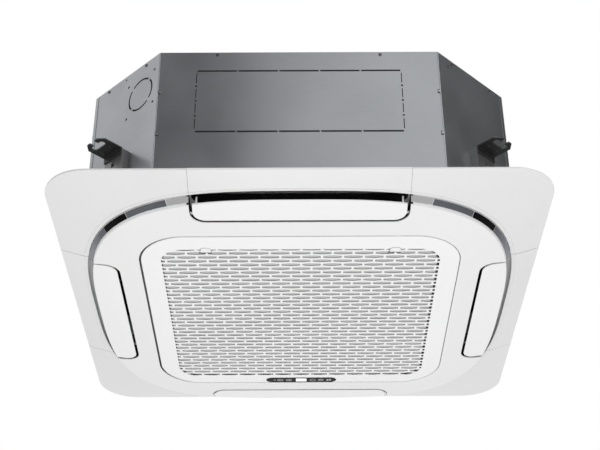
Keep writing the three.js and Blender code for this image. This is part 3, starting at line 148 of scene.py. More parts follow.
floor_level, floor_reach, floor_glow = -4.6, 30, 0.36
floor_finish = bpy.data.materials.new("floor_paint")
floor_finish.use_nodes = True
floor_nodes, floor_links = floor_finish.node_tree.nodes, floor_finish.node_tree.links
floor_shader = floor_nodes["Principled BSDF"]
set_sockets(floor_shader, Base_Color=(0.9, 0.9, 0.9, 1), Roughness=0.9, Emission_Color=(1, 1, 1, 1))
seen_floor = floor_nodes.new("ShaderNodeMath")
seen_floor.operation = "MULTIPLY"
seen_floor.inputs[1].default_value = floor_glow
floor_path = floor_nodes.new("ShaderNodeLightPath")
floor_links.new(floor_path.outputs["Is Camera Ray"], seen_floor.inputs[0])
floor_links.new(seen_floor.outputs[0], floor_shader.inputs["Emission Strength"])
corner_signs = ((-1, -1), (1, -1), (1, 1), (-1, 1))
four_cornered("floor", [(floor_reach * x, floor_reach * y, floor_level) for x, y in corner_signs],
              floor_finish)

# ---------------------------------------------------------------- casing
# Folded galvanised sheet with eight walls, a turned-in flange below and knock-outs for ducts.
# The corner walls are folded over the side walls and spot-welded, with tabs through slots.
MM = 0.001
casing_half, chamfer_leg, casing_low, casing_high, sheet = 420.0, 145.0, 20.0, 320.0, 1.2
chamfer_face = (2 * casing_half - chamfer_leg) / math.sqrt(2)


def effect(name, inputs, outputs):
    """A node group with named number inputs, and named outputs."""
    group = bpy.data.node_groups.new(name, "ShaderNodeTree")
    for label, value in inputs.items():
        socket = group.interface.new_socket(label, in_out="INPUT", socket_type="NodeSocketFloat")
        socket.default_value = value
    for label in outputs:
        group.interface.new_socket(label, in_out="OUTPUT", socket_type="NodeSocketFloat")
    return group, group.nodes.new("NodeGroupInput"), group.nodes.new("NodeGroupOutput")


def node(tree, kind, links=None, **values):
    """A shader node, with plain properties in lower case and its sockets linked or set by name."""
    made = tree.nodes.new(kind)
    for name, value in values.items():
        setattr(made, name, value)
    for name, source in (links or {}).items():
        target = made.inputs[name]
        if isinstance(source, bpy.types.NodeSocket):
            tree.links.new(source, target)
        else:
            target.default_value = source
    return made


def product(tree, first, second, **values):
    factors = {0: first, 1: second}
    return node(tree, "ShaderNodeMath", factors, operation="MULTIPLY", **values).outputs[0]


def ranged(tree, value, low=0.0, high=1.0, start=0.0, stop=1.0):
    """A value that goes from low to high as another goes from start to stop."""
    return node(tree, "ShaderNodeMapRange", {"Value": value, "From Min": start, "From Max": stop,
                                             "To Min": low, "To Max": high}).outputs["Result"]


def noise(tree, place, scale, detail, roughness=0.5):
    return node(tree, "ShaderNodeTexNoise", {"Vector": place, "Scale": scale, "Detail": detail,
                                             "Roughness": roughness}).outputs["Fac"]


def place_at(tree):
    """Where a point is on the part, in metres."""
    return node(tree, "ShaderNodeTexCoord").outputs["Object"]


# Grain of a rolled or moulded surface: fine relief, and broad changes of tone.
grain, grain_in, grain_out = effect("grain", {"Scale": 900, "Stretch": 1}, ["Height", "Tone"])
stretch = node(grain, "ShaderNodeCombineXYZ", {"X": 1.0, "Y": 1.0, "Z": grain_in.outputs["Stretch"]})
spread = node(grain, "ShaderNodeVectorMath", {0: place_at(grain), 1: stretch.outputs[0]},
              operation="MULTIPLY").outputs[0]
fine = noise(grain, spread, grain_in.outputs["Scale"], 3.0, 0.6)
broad = noise(grain, spread, product(grain, grain_in.outputs["Scale"], 0.09), 4.0)
grain.links.new(fine, grain_out.inputs["Height"])
grain.links.new(broad, grain_out.inputs["Tone"])

# Clouding by handling and dust.
clouds, clouds_in, clouds_out = effect("handling_clouds", {"Scale": 6, "Low": 0.35, "High": 0.7}, ["Mask"])
cloud = noise(clouds, place_at(clouds), clouds_in.outputs["Scale"], 5.0, 0.55)
cloud_mask = ranged(clouds, cloud, start=clouds_in.outputs["Low"], stop=clouds_in.outputs["High"])
clouds.links.new(cloud_mask, clouds_out.inputs["Mask"])

# Lighter colour along edges, broken up so that it comes and goes: partly scuffing, partly a painted edge
# highlight.
scuffs_and_highlights, scuffs_and_highlights_in, scuffs_and_highlights_out = effect("edge_scuffs_and_highlights", {"Width": 0.0015, "Amount": 1}, ["Mask"])
rounded = node(scuffs_and_highlights, "ShaderNodeBevel", {"Radius": scuffs_and_highlights_in.outputs["Width"]}, samples=4)
straight = node(scuffs_and_highlights, "ShaderNodeNewGeometry")
facing = node(scuffs_and_highlights, "ShaderNodeVectorMath", {0: rounded.outputs[0], 1: straight.outputs["Normal"]},
              operation="DOT_PRODUCT")
edge = ranged(scuffs_and_highlights, facing.outputs["Value"], start=0.995, stop=0.8)
patches = ranged(scuffs_and_highlights, noise(scuffs_and_highlights, place_at(scuffs_and_highlights), 90.0, 4.0), start=0.3, stop=0.62)
amount = product(scuffs_and_highlights, product(scuffs_and_highlights, edge, patches), scuffs_and_highlights_in.outputs["Amount"], use_clamp=True)
scuffs_and_highlights.links.new(amount, scuffs_and_highlights_out.inputs["Mask"])


def placed(tree, group, **values):
    """An effect's group in a finish, with its own values."""
    made = tree.nodes.new("ShaderNodeGroup")
    made.node_tree = group
    set_sockets(made, **values)
    return made


def tint(value):
    """Linear colour of a display grey (0 to 255), or of an (r, g, b) of such values."""
    shares = [part / 255 for part in (value if isinstance(value, tuple) else (value,) * 3)]
    return (*(((share + 0.055) / 1.055) ** 2.4 if share > 0.04 else share / 12.92 for share in shares), 1)


def blended(tree, factor, low, high):
    """Colour that goes from low to high with a mask."""
    mix = node(tree, "ShaderNodeMix", data_type="RGBA")
    tree.links.new(factor, mix.inputs["Factor"])
    for end, colour in (("A", low), ("B", high)):
        target = next(s for s in mix.inputs if s.name == end and s.type == "RGBA")
        if isinstance(colour, bpy.types.NodeSocket):
            tree.links.new(colour, target)
        else:
            target.default_value = colour
    return next(s for s in mix.outputs if s.type == "RGBA")


def finish(name, light, dark, roughness, metallic=0.0, scale=900.0, stretch=1.0, bump=0.05, cloud=6.0,
           scuffs_and_highlights_colour=None, scuffs_and_highlights_width=0.0012, scuffs_and_highlights_amount=1.0, depth=0.0002):
    """Grain in the height, clouded colour and roughness, and edges in a colour of their own where one is
    given: partly scuffing, partly a painted highlight.
    """
    material = bpy.data.materials.new(name)
    material.use_nodes = True
    tree = material.node_tree
    shader = tree.nodes["Principled BSDF"]
    set_sockets(shader, Metallic=metallic)
    texture = placed(tree, grain, Scale=scale, Stretch=stretch)
    handled = placed(tree, clouds, Scale=cloud).outputs["Mask"]
    colour = blended(tree, product(tree, texture.outputs["Tone"], handled), tint(light), tint(dark))
    if scuffs_and_highlights_colour is not None:
        mask = placed(tree, scuffs_and_highlights, Width=scuffs_and_highlights_width, Amount=scuffs_and_highlights_amount)
        colour = blended(tree, mask.outputs["Mask"], colour, tint(scuffs_and_highlights_colour))
    tree.links.new(colour, shader.inputs["Base Color"])
    tree.links.new(ranged(tree, handled, *roughness), shader.inputs["Roughness"])
    relief = node(tree, "ShaderNodeBump", {"Strength": bump, "Distance": depth,
                                           "Height": texture.outputs["Height"]})
    tree.links.new(relief.outputs[0], shader.inputs["Normal"])
    return material


def solid(points, faces):
    """A closed body from points in millimetres."""
    mesh = bpy.data.meshes.new("blank")
    mesh.from_pydata((np.asarray(points, float) * MM).tolist(), [], [list(map(int, face)) for face in faces])
    shape = bmesh.new()
    shape.from_mesh(mesh)
    bmesh.ops.remove_doubles(shape, verts=shape.verts, dist=1e-7)
    bmesh.ops.recalc_face_normals(shape, faces=shape.faces)
    shape.to_mesh(mesh)
    shape.free()
    return in_scene("blank", mesh)


def settled(blank):
    """Its modifiers made part of its mesh."""
    bpy.context.view_layer.update()
    mesh = bpy.data.meshes.new_from_object(blank.evaluated_get(bpy.context.evaluated_depsgraph_get()))
    blank.modifiers.clear()
    old, blank.data = blank.data, mesh
    bpy.data.meshes.remove(old)
    return blank


def combined(blank, tools, how):
    """A body after each tool in turn; a tool's own surfaces must not cross each other."""
    for tool in tools:
        modifier = blank.modifiers.new("combined", "BOOLEAN")
        modifier.operation, modifier.solver, modifier.object = how, "MANIFOLD", tool
        settled(blank)
        bpy.data.objects.remove(tool)
    return blank


def cut(blank, *tools):
    return combined(blank, tools, "DIFFERENCE")


def fused(blank, *more):
    return combined(blank, more, "UNION")


def common(blank, *tools):
    return combined(blank, tools, "INTERSECT")


def together(blanks):
    """Several bodies as one, without joining their surfaces."""
    points, faces = [], []
    for blank in blanks:
        start = len(points)
        points += [tuple(v.co) for v in blank.data.vertices]
        faces += [tuple(start + i for i in p.vertices) for p in blank.data.polygons]
        bpy.data.objects.remove(blank)
    mesh = bpy.data.meshes.new("blank")
    mesh.from_pydata(points, [], faces)
    return in_scene("blank", mesh)


def extruded(outline, low, high, along="Z"):
    """An (x, y) outline carried along Z, or a (y, z) one along X."""
    order = (2, 0, 1) if along == "X" else (0, 1, 2)
    count = len(outline)
    flat = [(*point, end) for end in (low, high) for point in outline]
    faces = [tuple(range(count))[::-1], tuple(range(count, 2 * count))]
    faces += [(i, (i + 1) % count, count + (i + 1) % count, count + i) for i in range(count)]
    return solid([tuple(point[i] for i in order) for point in flat], faces)


def block(x0, x1, y0, y1, z0, z1):
    return extruded([(x0, y0), (x1, y0), (x1, y1), (x0, y1)], z0, z1)


def lathed(profile, sides=96, centre=(0, 0)):
    """A closed (radius, height) profile turned about an upright axis."""
    angles = np.arange(sides) * 2 * np.pi / sides
    points = [(centre[0] + r * math.cos(a), centre[1] + r * math.sin(a), z)
              for r, z in profile for a in angles]
    count = len(profile)
    faces = []
    for row in range(count):
        after = (row + 1) % count
        if profile[row][0] < 1e-6 and profile[after][0] < 1e-6:
            continue
        for i in range(sides):
            j = (i + 1) % sides
            faces.append((row * sides + i, row * sides + j, after * sides + j, after * sides + i))
    return solid(points, faces)


def rod(radius, low, high, x=0.0, y=0.0, sides=48, chamfer=0.0):
    """An upright round bar."""
    foot = [(radius - chamfer, low), (radius, low + chamfer)] if chamfer else [(radius, low)]
    top = [(radius, high - chamfer), (radius - chamfer, high)] if chamfer else [(radius, high)]
    return lathed([(0, low), *foot, *top, (0, high)], sides, (x, y))


def shifted(x, y, z=0.0):
    return Matrix.Translation((x, y, z))


def turned(axis, turns=1):
    """Quarter turns about an axis."""
    return Matrix.Rotation(turns * math.pi / 2, 4, axis)


def placed_by(blank, matrix):
    """Moved by a matrix whose shift is in millimetres."""
    matrix = matrix.copy()
    matrix.translation = matrix.translation * MM
    blank.data.transform(matrix)
    blank.data.update()
    return blank


def quarter(blank, turns):
    return placed_by(blank, turned("Z", turns))


def finished(blank, name, material, body="unit", stands_for=(), bevel=0.0, sharp=32):
    """A named piece with rounded edges, its finish and its place in the assembly."""
    if bevel:
        modifier = blank.modifiers.new("rounded", "BEVEL")
        modifier.width, modifier.segments = bevel * MM, 2
        modifier.limit_method, modifier.angle_limit = "ANGLE", math.radians(sharp)
        settled(blank)
    blank.name = blank.data.name = name
    blank.data.materials.clear()
    blank.data.materials.append(material)
    blank.data.shade_smooth()
    blank.data.set_sharp_from_angle(angle=math.radians(sharp))
    flat = blank.modifiers.new("flat_faces", "WEIGHTED_NORMAL")
    flat.keep_sharp = True
    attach(blank, body)
    if stands_for:
        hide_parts(*stands_for)
    return blank


def octagon(inset):
    half = casing_half - inset
    near = half - (chamfer_leg - inset * (2 - math.sqrt(2)))
    return [(near, -half), (half, -near), (half, near), (near, half),
            (-near, half), (-half, near), (-half, -near), (-near, -half)]


def corner_matrix(corner):
    """From a place with +X out of a cut corner, and its origin on that face, to the casing."""
    angle = corner * math.pi / 2 - 0.75 * math.pi
    face = shifted(chamfer_face * math.cos(angle), chamfer_face * math.sin(angle))
    return face @ Matrix.Rotation(angle, 4, "Z")


def arc(radius, start, stop, steps, centre=(0, 0)):
    return [(centre[0] + radius * math.cos(a), centre[1] + radius * math.sin(a))
            for a in np.linspace(start, stop, steps + 1)]


def front_cutter(x0, x1, z0, z1, deep=2.5):
    """Cutter into the front wall."""
    return block(x0, x1, -casing_half - 1, -casing_half + deep, z0, z1)


galvanised = finish("galvanised_sheet", (164, 166, 170), (150, 152, 156), (0.3, 0.42), metallic=0.92,
                    scale=420, stretch=9, bump=0.06, cloud=5, scuffs_and_highlights_colour=205, scuffs_and_highlights_amount=0.5, depth=0.0001)
flange_width = 14
wall = cut(extruded(octagon(0), casing_low, casing_high),
           extruded(octagon(sheet), casing_low - 1, casing_high + 1))
flange = cut(extruded(octagon(0), casing_low, casing_low + sheet),
             extruded(octagon(flange_width), casing_low - 1, casing_low + 3))
wall = fused(wall, flange)

duct_half, duct_low, duct_high, duct_parts, gap, bridge = 200.5, 124.15, 272.65, 5, 4.0, 3.0
side_cuts, side_cut_half = ((duct_low + 6, 155), (169, 192), (205, 228), (242, duct_high - 6)), 0.9
punch_heights, punch_half = (162, 198.5, 235), 2
tools = []
for height in (duct_low, duct_high):
    for part in range(duct_parts):
        start = -duct_half + part * 2 * duct_half / duct_parts + bridge / 2
        stop = start + 2 * duct_half / duct_parts - bridge
        tools.append(front_cutter(start, stop, height - gap / 2, height + gap / 2))
for side in (-1, 1):
    x = side * duct_half
    for low, high in side_cuts:
        tools.append(front_cutter(x - side_cut_half, x + side_cut_half, low, high))
    for height in punch_heights:
        tools.append(front_cutter(x - punch_half, x + punch_half, height - punch_half, height + punch_half))

fresh_inner, fresh_outer, fresh_bridge, fresh_screw, fresh_hole = 33.2, 37.2, 0.18, 40.5, 2.9
fresh_place = corner_matrix(0) @ shifted(0, 47.5, 246) @ turned("Y")
for turn in range(4):
    start = turn * math.pi / 2 + math.pi / 4 + fresh_bridge / 2
    stop = start + math.pi / 2 - fresh_bridge
    ring = arc(fresh_outer, start, stop, 16) + arc(fresh_inner, stop, start, 16)
    tools.append(placed_by(extruded(ring, -3, 3), fresh_place))
for right in (-1, 1):
    for up in (-1, 1):
        hole = rod(fresh_hole, -3, 3, right * fresh_screw, up * fresh_screw, 20)
        tools.append(placed_by(hole, fresh_place))

# Round holes in the corner walls: for the gas and the liquid pipe, and three small ones near the top.
corner_holes = ((2, 52, 130, 8.4), (2, 84, 180, 5.2),
                (1, -72, 300, 2.4), (0, -3.5, 311, 2.4), (3, 60, 300, 2.4))
for corner, along, height, radius in corner_holes:
    hole = placed_by(rod(radius, -3, 3, sides=32), turned("Y"))
    tools.append(placed_by(hole, corner_matrix(corner) @ shifted(0, along, height)))
drain_hole, drain_across, drain_height = 14, 236, 230
drain_place = shifted(drain_across, casing_half, drain_height) @ turned("X")
tools.append(placed_by(rod(drain_hole, -3, 3), drain_place))

tab_x, tab_heights, tab_slot_half, tab_slot_rise = 272, (119, 220), 2.6, 5
groove_x, groove_half, groove_depth = 274.2, 0.7, 0.8
for turn in range(4):
    for side in (-1, 1):
        for height in tab_heights:
            slot = front_cutter(side * tab_x - tab_slot_half, side * tab_x + tab_slot_half,
                                height - tab_slot_rise, height + tab_slot_rise)
            tools.append(quarter(slot, turn))
wall = cut(wall, together(tools))
grooves = [quarter(front_cutter(side * groove_x - groove_half, side * groove_x + groove_half,
                                casing_low + 3, casing_high + 1, groove_depth), turn)
           for turn in range(4) for side in (-1, 1)]
wall = cut(wall, together(grooves))
finished(wall, "casing_sheet", galvanised, stands_for=["casing_wall"])

strips, tabs = [], []
strip_near, strip_far = 94.5, 102
for turn in range(4):
    for side in (-1, 1):
        low, high = sorted((side * strip_near, side * strip_far))
        strip = block(0.05, 0.9, low, high, casing_low + 1.5, casing_high - 1)
        strips.append(placed_by(strip, corner_matrix(turn)))
        for height in tab_heights:
            tab = block(side * tab_x - 1.9, side * tab_x + 2.8, -casing_half - 1.5, -casing_half - 0.2,
                        height - 2.8, height + 2.8)
            tabs.append(quarter(tab, turn))
folds = [rod(1.5, casing_low + 1, casing_high - 1, x, y, 20) for x, y in octagon(0.6)]
finished(together(folds), "casing_folds", galvanised)
finished(together(strips), "casing_fold_strips", galvanised, bevel=0.3)
finished(together(tabs), "casing_tabs", galvanised, bevel=0.4)

screw_steel = finish("zinc_screws", 92, 70, (0.25, 0.4), metallic=1, scale=2000, scuffs_and_highlights_colour=230, scuffs_and_highlights_width=0.0004)
screw_height, side_screw, corner_screw = 313, 161, 60


def pan_screw(radius=3.4, height=1.8):
    """Screw head on +Z with a cross recess, its face on the plane z = 0."""
    head = lathed([(0, 0), (radius, 0), (radius, 0.35 * height), (0.86 * radius, 0.75 * height),
                   (0.5 * radius, height), (0, height)], 28)
    arm, half_width, depth = 0.55 * radius, 0.6, 0.45 * height
    return cut(head, block(-arm, arm, -half_width, half_width, depth, height + 1),
               block(-half_width, half_width, -arm, arm, depth, height + 1))


heads = []
for turn in range(4):
    for along in (-side_screw, side_screw):
        screw = placed_by(pan_screw(), shifted(along, -casing_half - 0.05, screw_height) @ turned("X"))
        heads.append(quarter(screw, turn))
for corner in range(4):
    for along in (-corner_screw, corner_screw):
        screw = placed_by(pan_screw(), shifted(0.05, along, screw_height) @ turned("Y"))
        heads.append(placed_by(screw, corner_matrix(corner)))
finished(together(heads), "casing_screws", screw_steel)

# ---------------------------------------------------------------- top plate
# Pressed galvanised tray with a turned-up edge, a ring bead and eight ribs for stiffness.
# It lies inside the casing's upper edge and carries the fan motor on rubber bushes.
tray_top, tray_half, tray_steps = 308.0, casing_half - 2.8, 150
ring_bead, rib_start, rib_margin = 160.7, 189, 35
bead_height, bead_crest, bead_foot = 7, 8, 14


def ridge(distance, crest, foot):
    """Height share of a pressed bead at a distance from its middle line."""
    share = np.clip((foot - np.abs(distance)) / (foot - crest), 0, 1)
    return share * share * (3 - 2 * share)


plan_y = np.linspace(-tray_half, tray_half, tray_steps)
flat_part = tray_half - chamfer_leg
reach = np.where(np.abs(plan_y) < flat_part, tray_half, tray_half - (np.abs(plan_y) - flat_part))
grid_x = np.linspace(-1, 1, tray_steps)[None, :] * reach[:, None]
grid_y = np.repeat(plan_y[:, None], tray_steps, 1)
press = ridge(np.hypot(grid_x, grid_y) - ring_bead, bead_crest, bead_foot)
for turn in range(8):
    direction = turn * math.pi / 4
    out = grid_x * math.cos(direction) + grid_y * math.sin(direction)
    beside = -grid_x * math.sin(direction) + grid_y * math.cos(direction)
    rib_end = (casing_half if turn % 2 == 0 else chamfer_face) - rib_margin
    middle, half_length = (rib_end + rib_start) / 2, (rib_end - rib_start) / 2
    rib = ridge(beside, bead_crest, bead_foot) * ridge(out - middle, half_length - 8, half_length)
    press = np.maximum(press, rib)
surface = np.stack([grid_x, grid_y, tray_top + bead_height * press], -1).reshape(-1, 3)
under = surface - np.array([0, 0, sheet])
count, last = tray_steps * tray_steps, tray_steps - 1
cells = [(r * tray_steps + c, r * tray_steps + c + 1, (r + 1) * tray_steps + c + 1, (r + 1) * tray_steps + c)
         for r in range(last) for c in range(last)]
border = (list(range(tray_steps)) + [r * tray_steps + last for r in range(1, tray_steps)]
          + [last * tray_steps + c for c in range(last - 1, -1, -1)]
          + [r * tray_steps for r in range(last - 1, 0, -1)])
faces = cells + [tuple(count + i for i in reversed(cell)) for cell in cells]
faces += [(i, j, count + j, count + i) for i, j in zip(border, border[1:] + border[:1])]
tray_steel = finish("tray_sheet", 172, 154, (0.38, 0.6), metallic=0.72, scale=300, bump=0.1, cloud=9,
                    scuffs_and_highlights_colour=200, depth=0.0001)
finished(solid(np.vstack([surface, under]), faces), "top_tray", tray_steel, stands_for=["top_plate"],
         sharp=50)
tray_edge = cut(extruded(octagon(1.6), tray_top - 1, casing_high - 0.4),
                extruded(octagon(2.7), tray_top - 5, casing_high + 5))
finished(tray_edge, "tray_edge", tray_steel)
bolts = []
bolt_at, washer_radius, bolt_radius = 74, 9, 6.5
for x in (-bolt_at, bolt_at):
    for y in (-bolt_at, bolt_at):
        hexagon = arc(bolt_radius, 0, 2 * math.pi, 6)[:-1]
        bolt = fused(rod(washer_radius, 0, 1.4, chamfer=0.3), extruded(hexagon, 1, 6))
        bolts.append(placed_by(bolt, shifted(x, y, tray_top)))
finished(together(bolts), "motor_bolts", screw_steel, bevel=0.3)

# ---------------------------------------------------------------- hanger brackets
# A galvanised channel on each cut corner, with a dark hook plate whose slot takes the rod.
# Both are folded from steel about 2.5 mm thick; the plate's inner edge is folded down over the channel.
# The lighter edges of the hook plate and the channel are partly scuffs and partly painted edge highlights.
hook_steel = finish("hook_steel", 58, 44, (0.42, 0.6), metallic=0.45, bump=0.1, scuffs_and_highlights_colour=150, scuffs_and_highlights_width=0.0014,
                    scuffs_and_highlights_amount=0.9)
channel_steel = finish("channel_steel", 132, 112, (0.3, 0.45), metallic=0.8, scale=500, stretch=6,
                       bump=0.1, scuffs_and_highlights_colour=220, scuffs_and_highlights_amount=0.6, depth=0.0001)
bracket_half, plate_low, plate_high, plate_foot, plate_tip = 27, 116.2, 118.5, 17.5, 70
slot_radius, slot_end, slot_mouth = 6, 11, 6.5
wall_gap, channel_front, channel_top, folded = 0.3, 17.3, 116, 2.5
hook_outline = ([(plate_foot, -bracket_half), (58, -bracket_half), (plate_tip, -15), (plate_tip, -slot_mouth),
                 (60, -slot_mouth), (60, -slot_end)]
                + arc(slot_radius, 0, -math.pi, 14, (54, -slot_end))
                + arc(slot_radius, math.pi, 0, 14, (54, slot_end))
                + [(60, slot_mouth), (plate_tip, slot_mouth), (plate_tip, 15), (58, bracket_half),
                   (plate_foot, bracket_half)])
for corner in range(4):
    hook = fused(extruded(hook_outline, plate_low, plate_high),
                 block(plate_foot, 19.9, -bracket_half, bracket_half, 104, plate_high))
    dimples = [lathed([(0, 114.9), (3.2, 115.6), (4.4, 116.4), (4.4, 117), (0, 117)], 32, (33, side * 12))
               for side in (-1, 1)]
    finished(placed_by(fused(hook, *dimples), corner_matrix(corner)), f"hanger_hook_{corner + 1}", hook_steel,
             stands_for=[f"hanger_bracket_{corner + 1}"], bevel=0.5)
    channel = cut(block(wall_gap, channel_front, -bracket_half, bracket_half, 22.6, channel_top),
                  block(-1, 15, -24.5, 24.5, 20, 118), block(12, 20, -5, 5, 84.5, 94.5))
    foot = cut(block(wall_gap, 26, -bracket_half, bracket_half, casing_low, casing_low + folded),
               rod(3, 10, 30, 13, 0, 24))
    finished(placed_by(fused(channel, foot), corner_matrix(corner)), f"hanger_channel_{corner + 1}",
             channel_steel, bevel=0.5)

# ---------------------------------------------------------------- panel frame
# White moulded frame that lies on the ceiling: a sloping skin from its rim to a thin lip, a flat
# base, and dark ducts for the four outlets. The four corner covers lift off to reach the hooks.
panel_half, rim_radius, lip_half, base_hole_half = 475.0, 85.0, 430.5, 421.5
step_roundness = 3.24
outlet_inner, outlet_half, opening_half, outlet_corner = 357.3, 205.0, 314.8, 30
rim_edge, skin_drop, skin_bulge, base_wall, cover_lift = -4.7, 15.5, 1.2, 2.4, 2.7
intake_half, intake_corner, intake_wall = 292.0, 50, 2.5
pivot_y, pivot_z = -373.0, -30
side_names = ("front", "right", "back", "left")


def square_reach(angle, half, radius):
    """From the middle to a square with rounded corners."""
    c, s = abs(math.cos(angle)), abs(math.sin(angle))
    most, least, centre = max(c, s), min(c, s), half - radius
    if half * least <= centre * most:
        return half / most
    return centre * (most + least) + math.sqrt(radius ** 2 - (centre * (most - least)) ** 2)


def step_reach(angle, half):
    """From the middle to the squarish oval of the step."""
    total = abs(math.cos(angle)) ** step_roundness + abs(math.sin(angle)) ** step_roundness
    return half / total ** (1 / step_roundness)


def rim(inset):
    return lambda angle: square_reach(angle, panel_half - inset, rim_radius - inset)


def step(half):
    return lambda angle: step_reach(angle, half)


def square(half, radius):
    return lambda angle: square_reach(angle, half, radius)


def step_at(along, half=base_hole_half):
    """The step's distance out, at a distance along a side."""
    return half * (1 - (abs(along) / half) ** step_roundness) ** (1 / step_roundness)


quarter_directions = np.concatenate([np.arange(0, 36, 2.25), np.arange(36, 54, 0.6), np.arange(54, 90, 2.25)])
directions = [math.radians(start + angle) for start in (0, 90, 180, 270) for angle in quarter_directions]


def lofted(section):
    """A ring whose closed cross-section runs through outlines, each at its own height."""
    rows, count = len(section), len(directions)
    points = [(reach(a) * math.cos(a), reach(a) * math.sin(a), height)
              for a in directions for reach, height in section]
    faces = [(t * rows + r, ((t + 1) % count) * rows + r, ((t + 1) % count) * rows + (r + 1) % rows,
              t * rows + (r + 1) % rows) for t in range(count) for r in range(rows)]
    return solid(points, faces)


def plan(reach):
    return [(reach(a) * math.cos(a), reach(a) * math.sin(a)) for a in directions]


def slab(reach, low, high):
    return extruded(plan(reach), low, high)


def skin(under_base=0.0):
    """The sloping skin with a rounded rim, a groove and the lip round the outlets."""
    def between(share):
        return (lambda a: rim(0.6)(a) + share * (step(lip_half + 8)(a) - rim(0.6)(a)),
                rim_edge - share * skin_drop - skin_bulge * share * (1 - share))
    slope = [between(share) for share in (0.0, 0.25, 0.5, 0.75, 1.0)]
    return lofted([(rim(0), -under_base), (rim(0), -3.9), *slope, (step(lip_half + 7.1), -19.4),
                   (step(lip_half + 6.3), -20.9), (step(lip_half + 5), -21.4), (step(lip_half + 1.6), -21.5),
                   (step(lip_half + 0.5), -21.1), (step(lip_half), -20.4), (step(lip_half + 0.2), -17.5),
                   (rim(3), -base_wall - under_base), (rim(3), -under_base)])


def corner_block(corner, gap_x, gap_y=None):
    """The room of a corner, from lines beside the outlets outward."""
    x, y = corner_signs[corner]
    x0, x1 = sorted((x * (outlet_half + gap_x), x * (panel_half + 1)))
    y0, y1 = sorted((y * (outlet_half + (gap_x if gap_y is None else gap_y)), y * (panel_half + 1)))
    return block(x0, x1, y0, y1, -100, 100)


def moulded_white(name, light, dark, roughness, bump=0.06):
    return finish(name, light, dark, roughness, scale=1500, bump=bump, cloud=3, depth=0.0001)


panel_white = moulded_white("panel_white", 236, 229, (0.36, 0.48))
duct_black = finish("duct_black", 17, 10, (0.6, 0.85), bump=0.15)
# Grey for thin strips that sit in the cover seams and paint the seams' shade.
seam_shade_grey = finish("seam_shade_grey", 130, 118, (0.7, 0.9), bump=0.2)
base_white = finish("base_white", 226, 214, (0.5, 0.62), scale=1200, bump=0.08, cloud=3)
side_skin = cut(skin(), *(corner_block(corner, -0.3, -0.7) for corner in range(4)))
finished(side_skin, "frame_sides", panel_white, sharp=28)
for corner in range(4):
    cover = common(skin(cover_lift), corner_block(corner, 0.3, 0.7))
    finished(cover, f"cover_{corner + 1}", panel_white, stands_for=[f"corner_cover_{corner + 1}"],
             sharp=28)
    # A grey strip half a millimetre inside each seam round a cover paints the shadow in that seam.
    seam_shade = placed_by(skin(cover_lift), shifted(0, 0, 0.5))
    seam_shade = cut(common(seam_shade, corner_block(corner, -0.25, -0.65)), corner_block(corner, 0.25, 0.65))
    finished(seam_shade, f"cover_seam_shade_{corner + 1}", seam_shade_grey, sharp=28)


def outlet_outline(side_gap, inner_gap, reach):
    """An outlet's opening in plan on the front side, with rounded inner corners."""
    half, inner, radius = outlet_half - side_gap, -outlet_inner - inner_gap, outlet_corner - inner_gap
    return ([(-half, -reach), (half, -reach)]
            + arc(radius, 0, math.pi / 2, 12, (half - radius, inner - radius))
            + arc(radius, math.pi / 2, math.pi, 12, (-half + radius, inner - radius)))


base = cut(slab(rim(0.6), -base_wall, 0), slab(square(intake_half, intake_corner), -5, 5))
for turn in range(4):
    hole = common(extruded(outlet_outline(1.5, 0, base_hole_half), -9, 9),
                  slab(step(base_hole_half), -10, 10))
    base = cut(base, quarter(hole, turn))
finished(base, "frame_base", base_white, stands_for=["panel_frame"])
intake = cut(slab(square(intake_half + intake_wall, intake_corner + intake_wall), -35.5, -1),
             slab(square(intake_half, intake_corner), -50, 5))
finished(intake, "intake_wall", base_white, bevel=0.4)
end, far, bearing_radius = outlet_half + 1.5, outlet_half + 4, 3.4
for turn, side_name in enumerate(side_names):
    inner = block(-far, far, -outlet_inner + 1.5, -outlet_inner + 4, -38.7, -1)
    ends = []
    for side in (-1, 1):
        low, high = sorted((side * end, side * far))
        ends.append(block(low, high, -step_at(far) + 7, -outlet_inner + 2.5, -34.7, -1))
    bearing = placed_by(rod(bearing_radius, -210, 210, sides=32), shifted(0, pivot_y, pivot_z) @ turned("Y"))
    finished(quarter(cut(fused(inner, *ends), bearing), turn), f"outlet_duct_{side_name}", duct_black,
             bevel=0.3)

# ---------------------------------------------------------------- middle of the panel
# White moulding between the outlets and the intake, crowned a little, with an outer wall that leans
# in at its foot. Bright and smoked trims are clipped over that lean in the four corners.
turn_line = square(outlet_inner, 112)
opening_line = square(opening_half, 93.0)
motor_room = 209.3


def across_rows(first, last, shares, bulge):
    """Rows between two (outline, height) rows, bulged down a little in the middle."""
    return [(lambda a, s=s: first[0](a) + s * (last[0](a) - first[0](a)),
             first[1] + s * (last[1] - first[1]) - 4 * bulge * s * (1 - s)) for s in shares]


shares = (0.25, 0.5, 0.75)
edge_row, turn_row = (step(417.5), -38.1), (turn_line, -42.0)
inner_row = (square(opening_half + 0.8, 93.8), -45.9)
fascia = lofted([
    (step(429.3), -2.7), (step(429.3), -21.6), (step(421.4), -31.8), (step(421.0), -32.4),
    (step(420.7), -35.6), (step(419.7), -37.3), edge_row, *across_rows(edge_row, turn_row, shares, 0.35),
    turn_row, *across_rows(turn_row, inner_row, shares, 0.3), inner_row, (opening_line, -45.3),
    (opening_line, -43.6), (turn_line, -40.4), (step(416.5), -36.4), (step(418.6), -32.2),
    (step(426.4), -21.6), (step(426.4), -2.7)])
for turn in range(4):
    opening = extruded(outlet_outline(0, 0, panel_half), -100, 100)
    room = block(-motor_room, motor_room, -panel_half, -391, -35, 100)
    fascia = cut(fascia, quarter(opening, turn), quarter(room, turn))
fascia_white = moulded_white("fascia_white", 243, 238, (0.34, 0.46))
finished(fascia, "panel_middle", fascia_white, stands_for=["centre_fascia"], bevel=0.9,
         sharp=38)


def plated(name, light, dark, roughness):
    return finish(name, light, dark, roughness, metallic=1, scale=700, stretch=12, bump=0.03, cloud=14,
                  depth=0.00005)


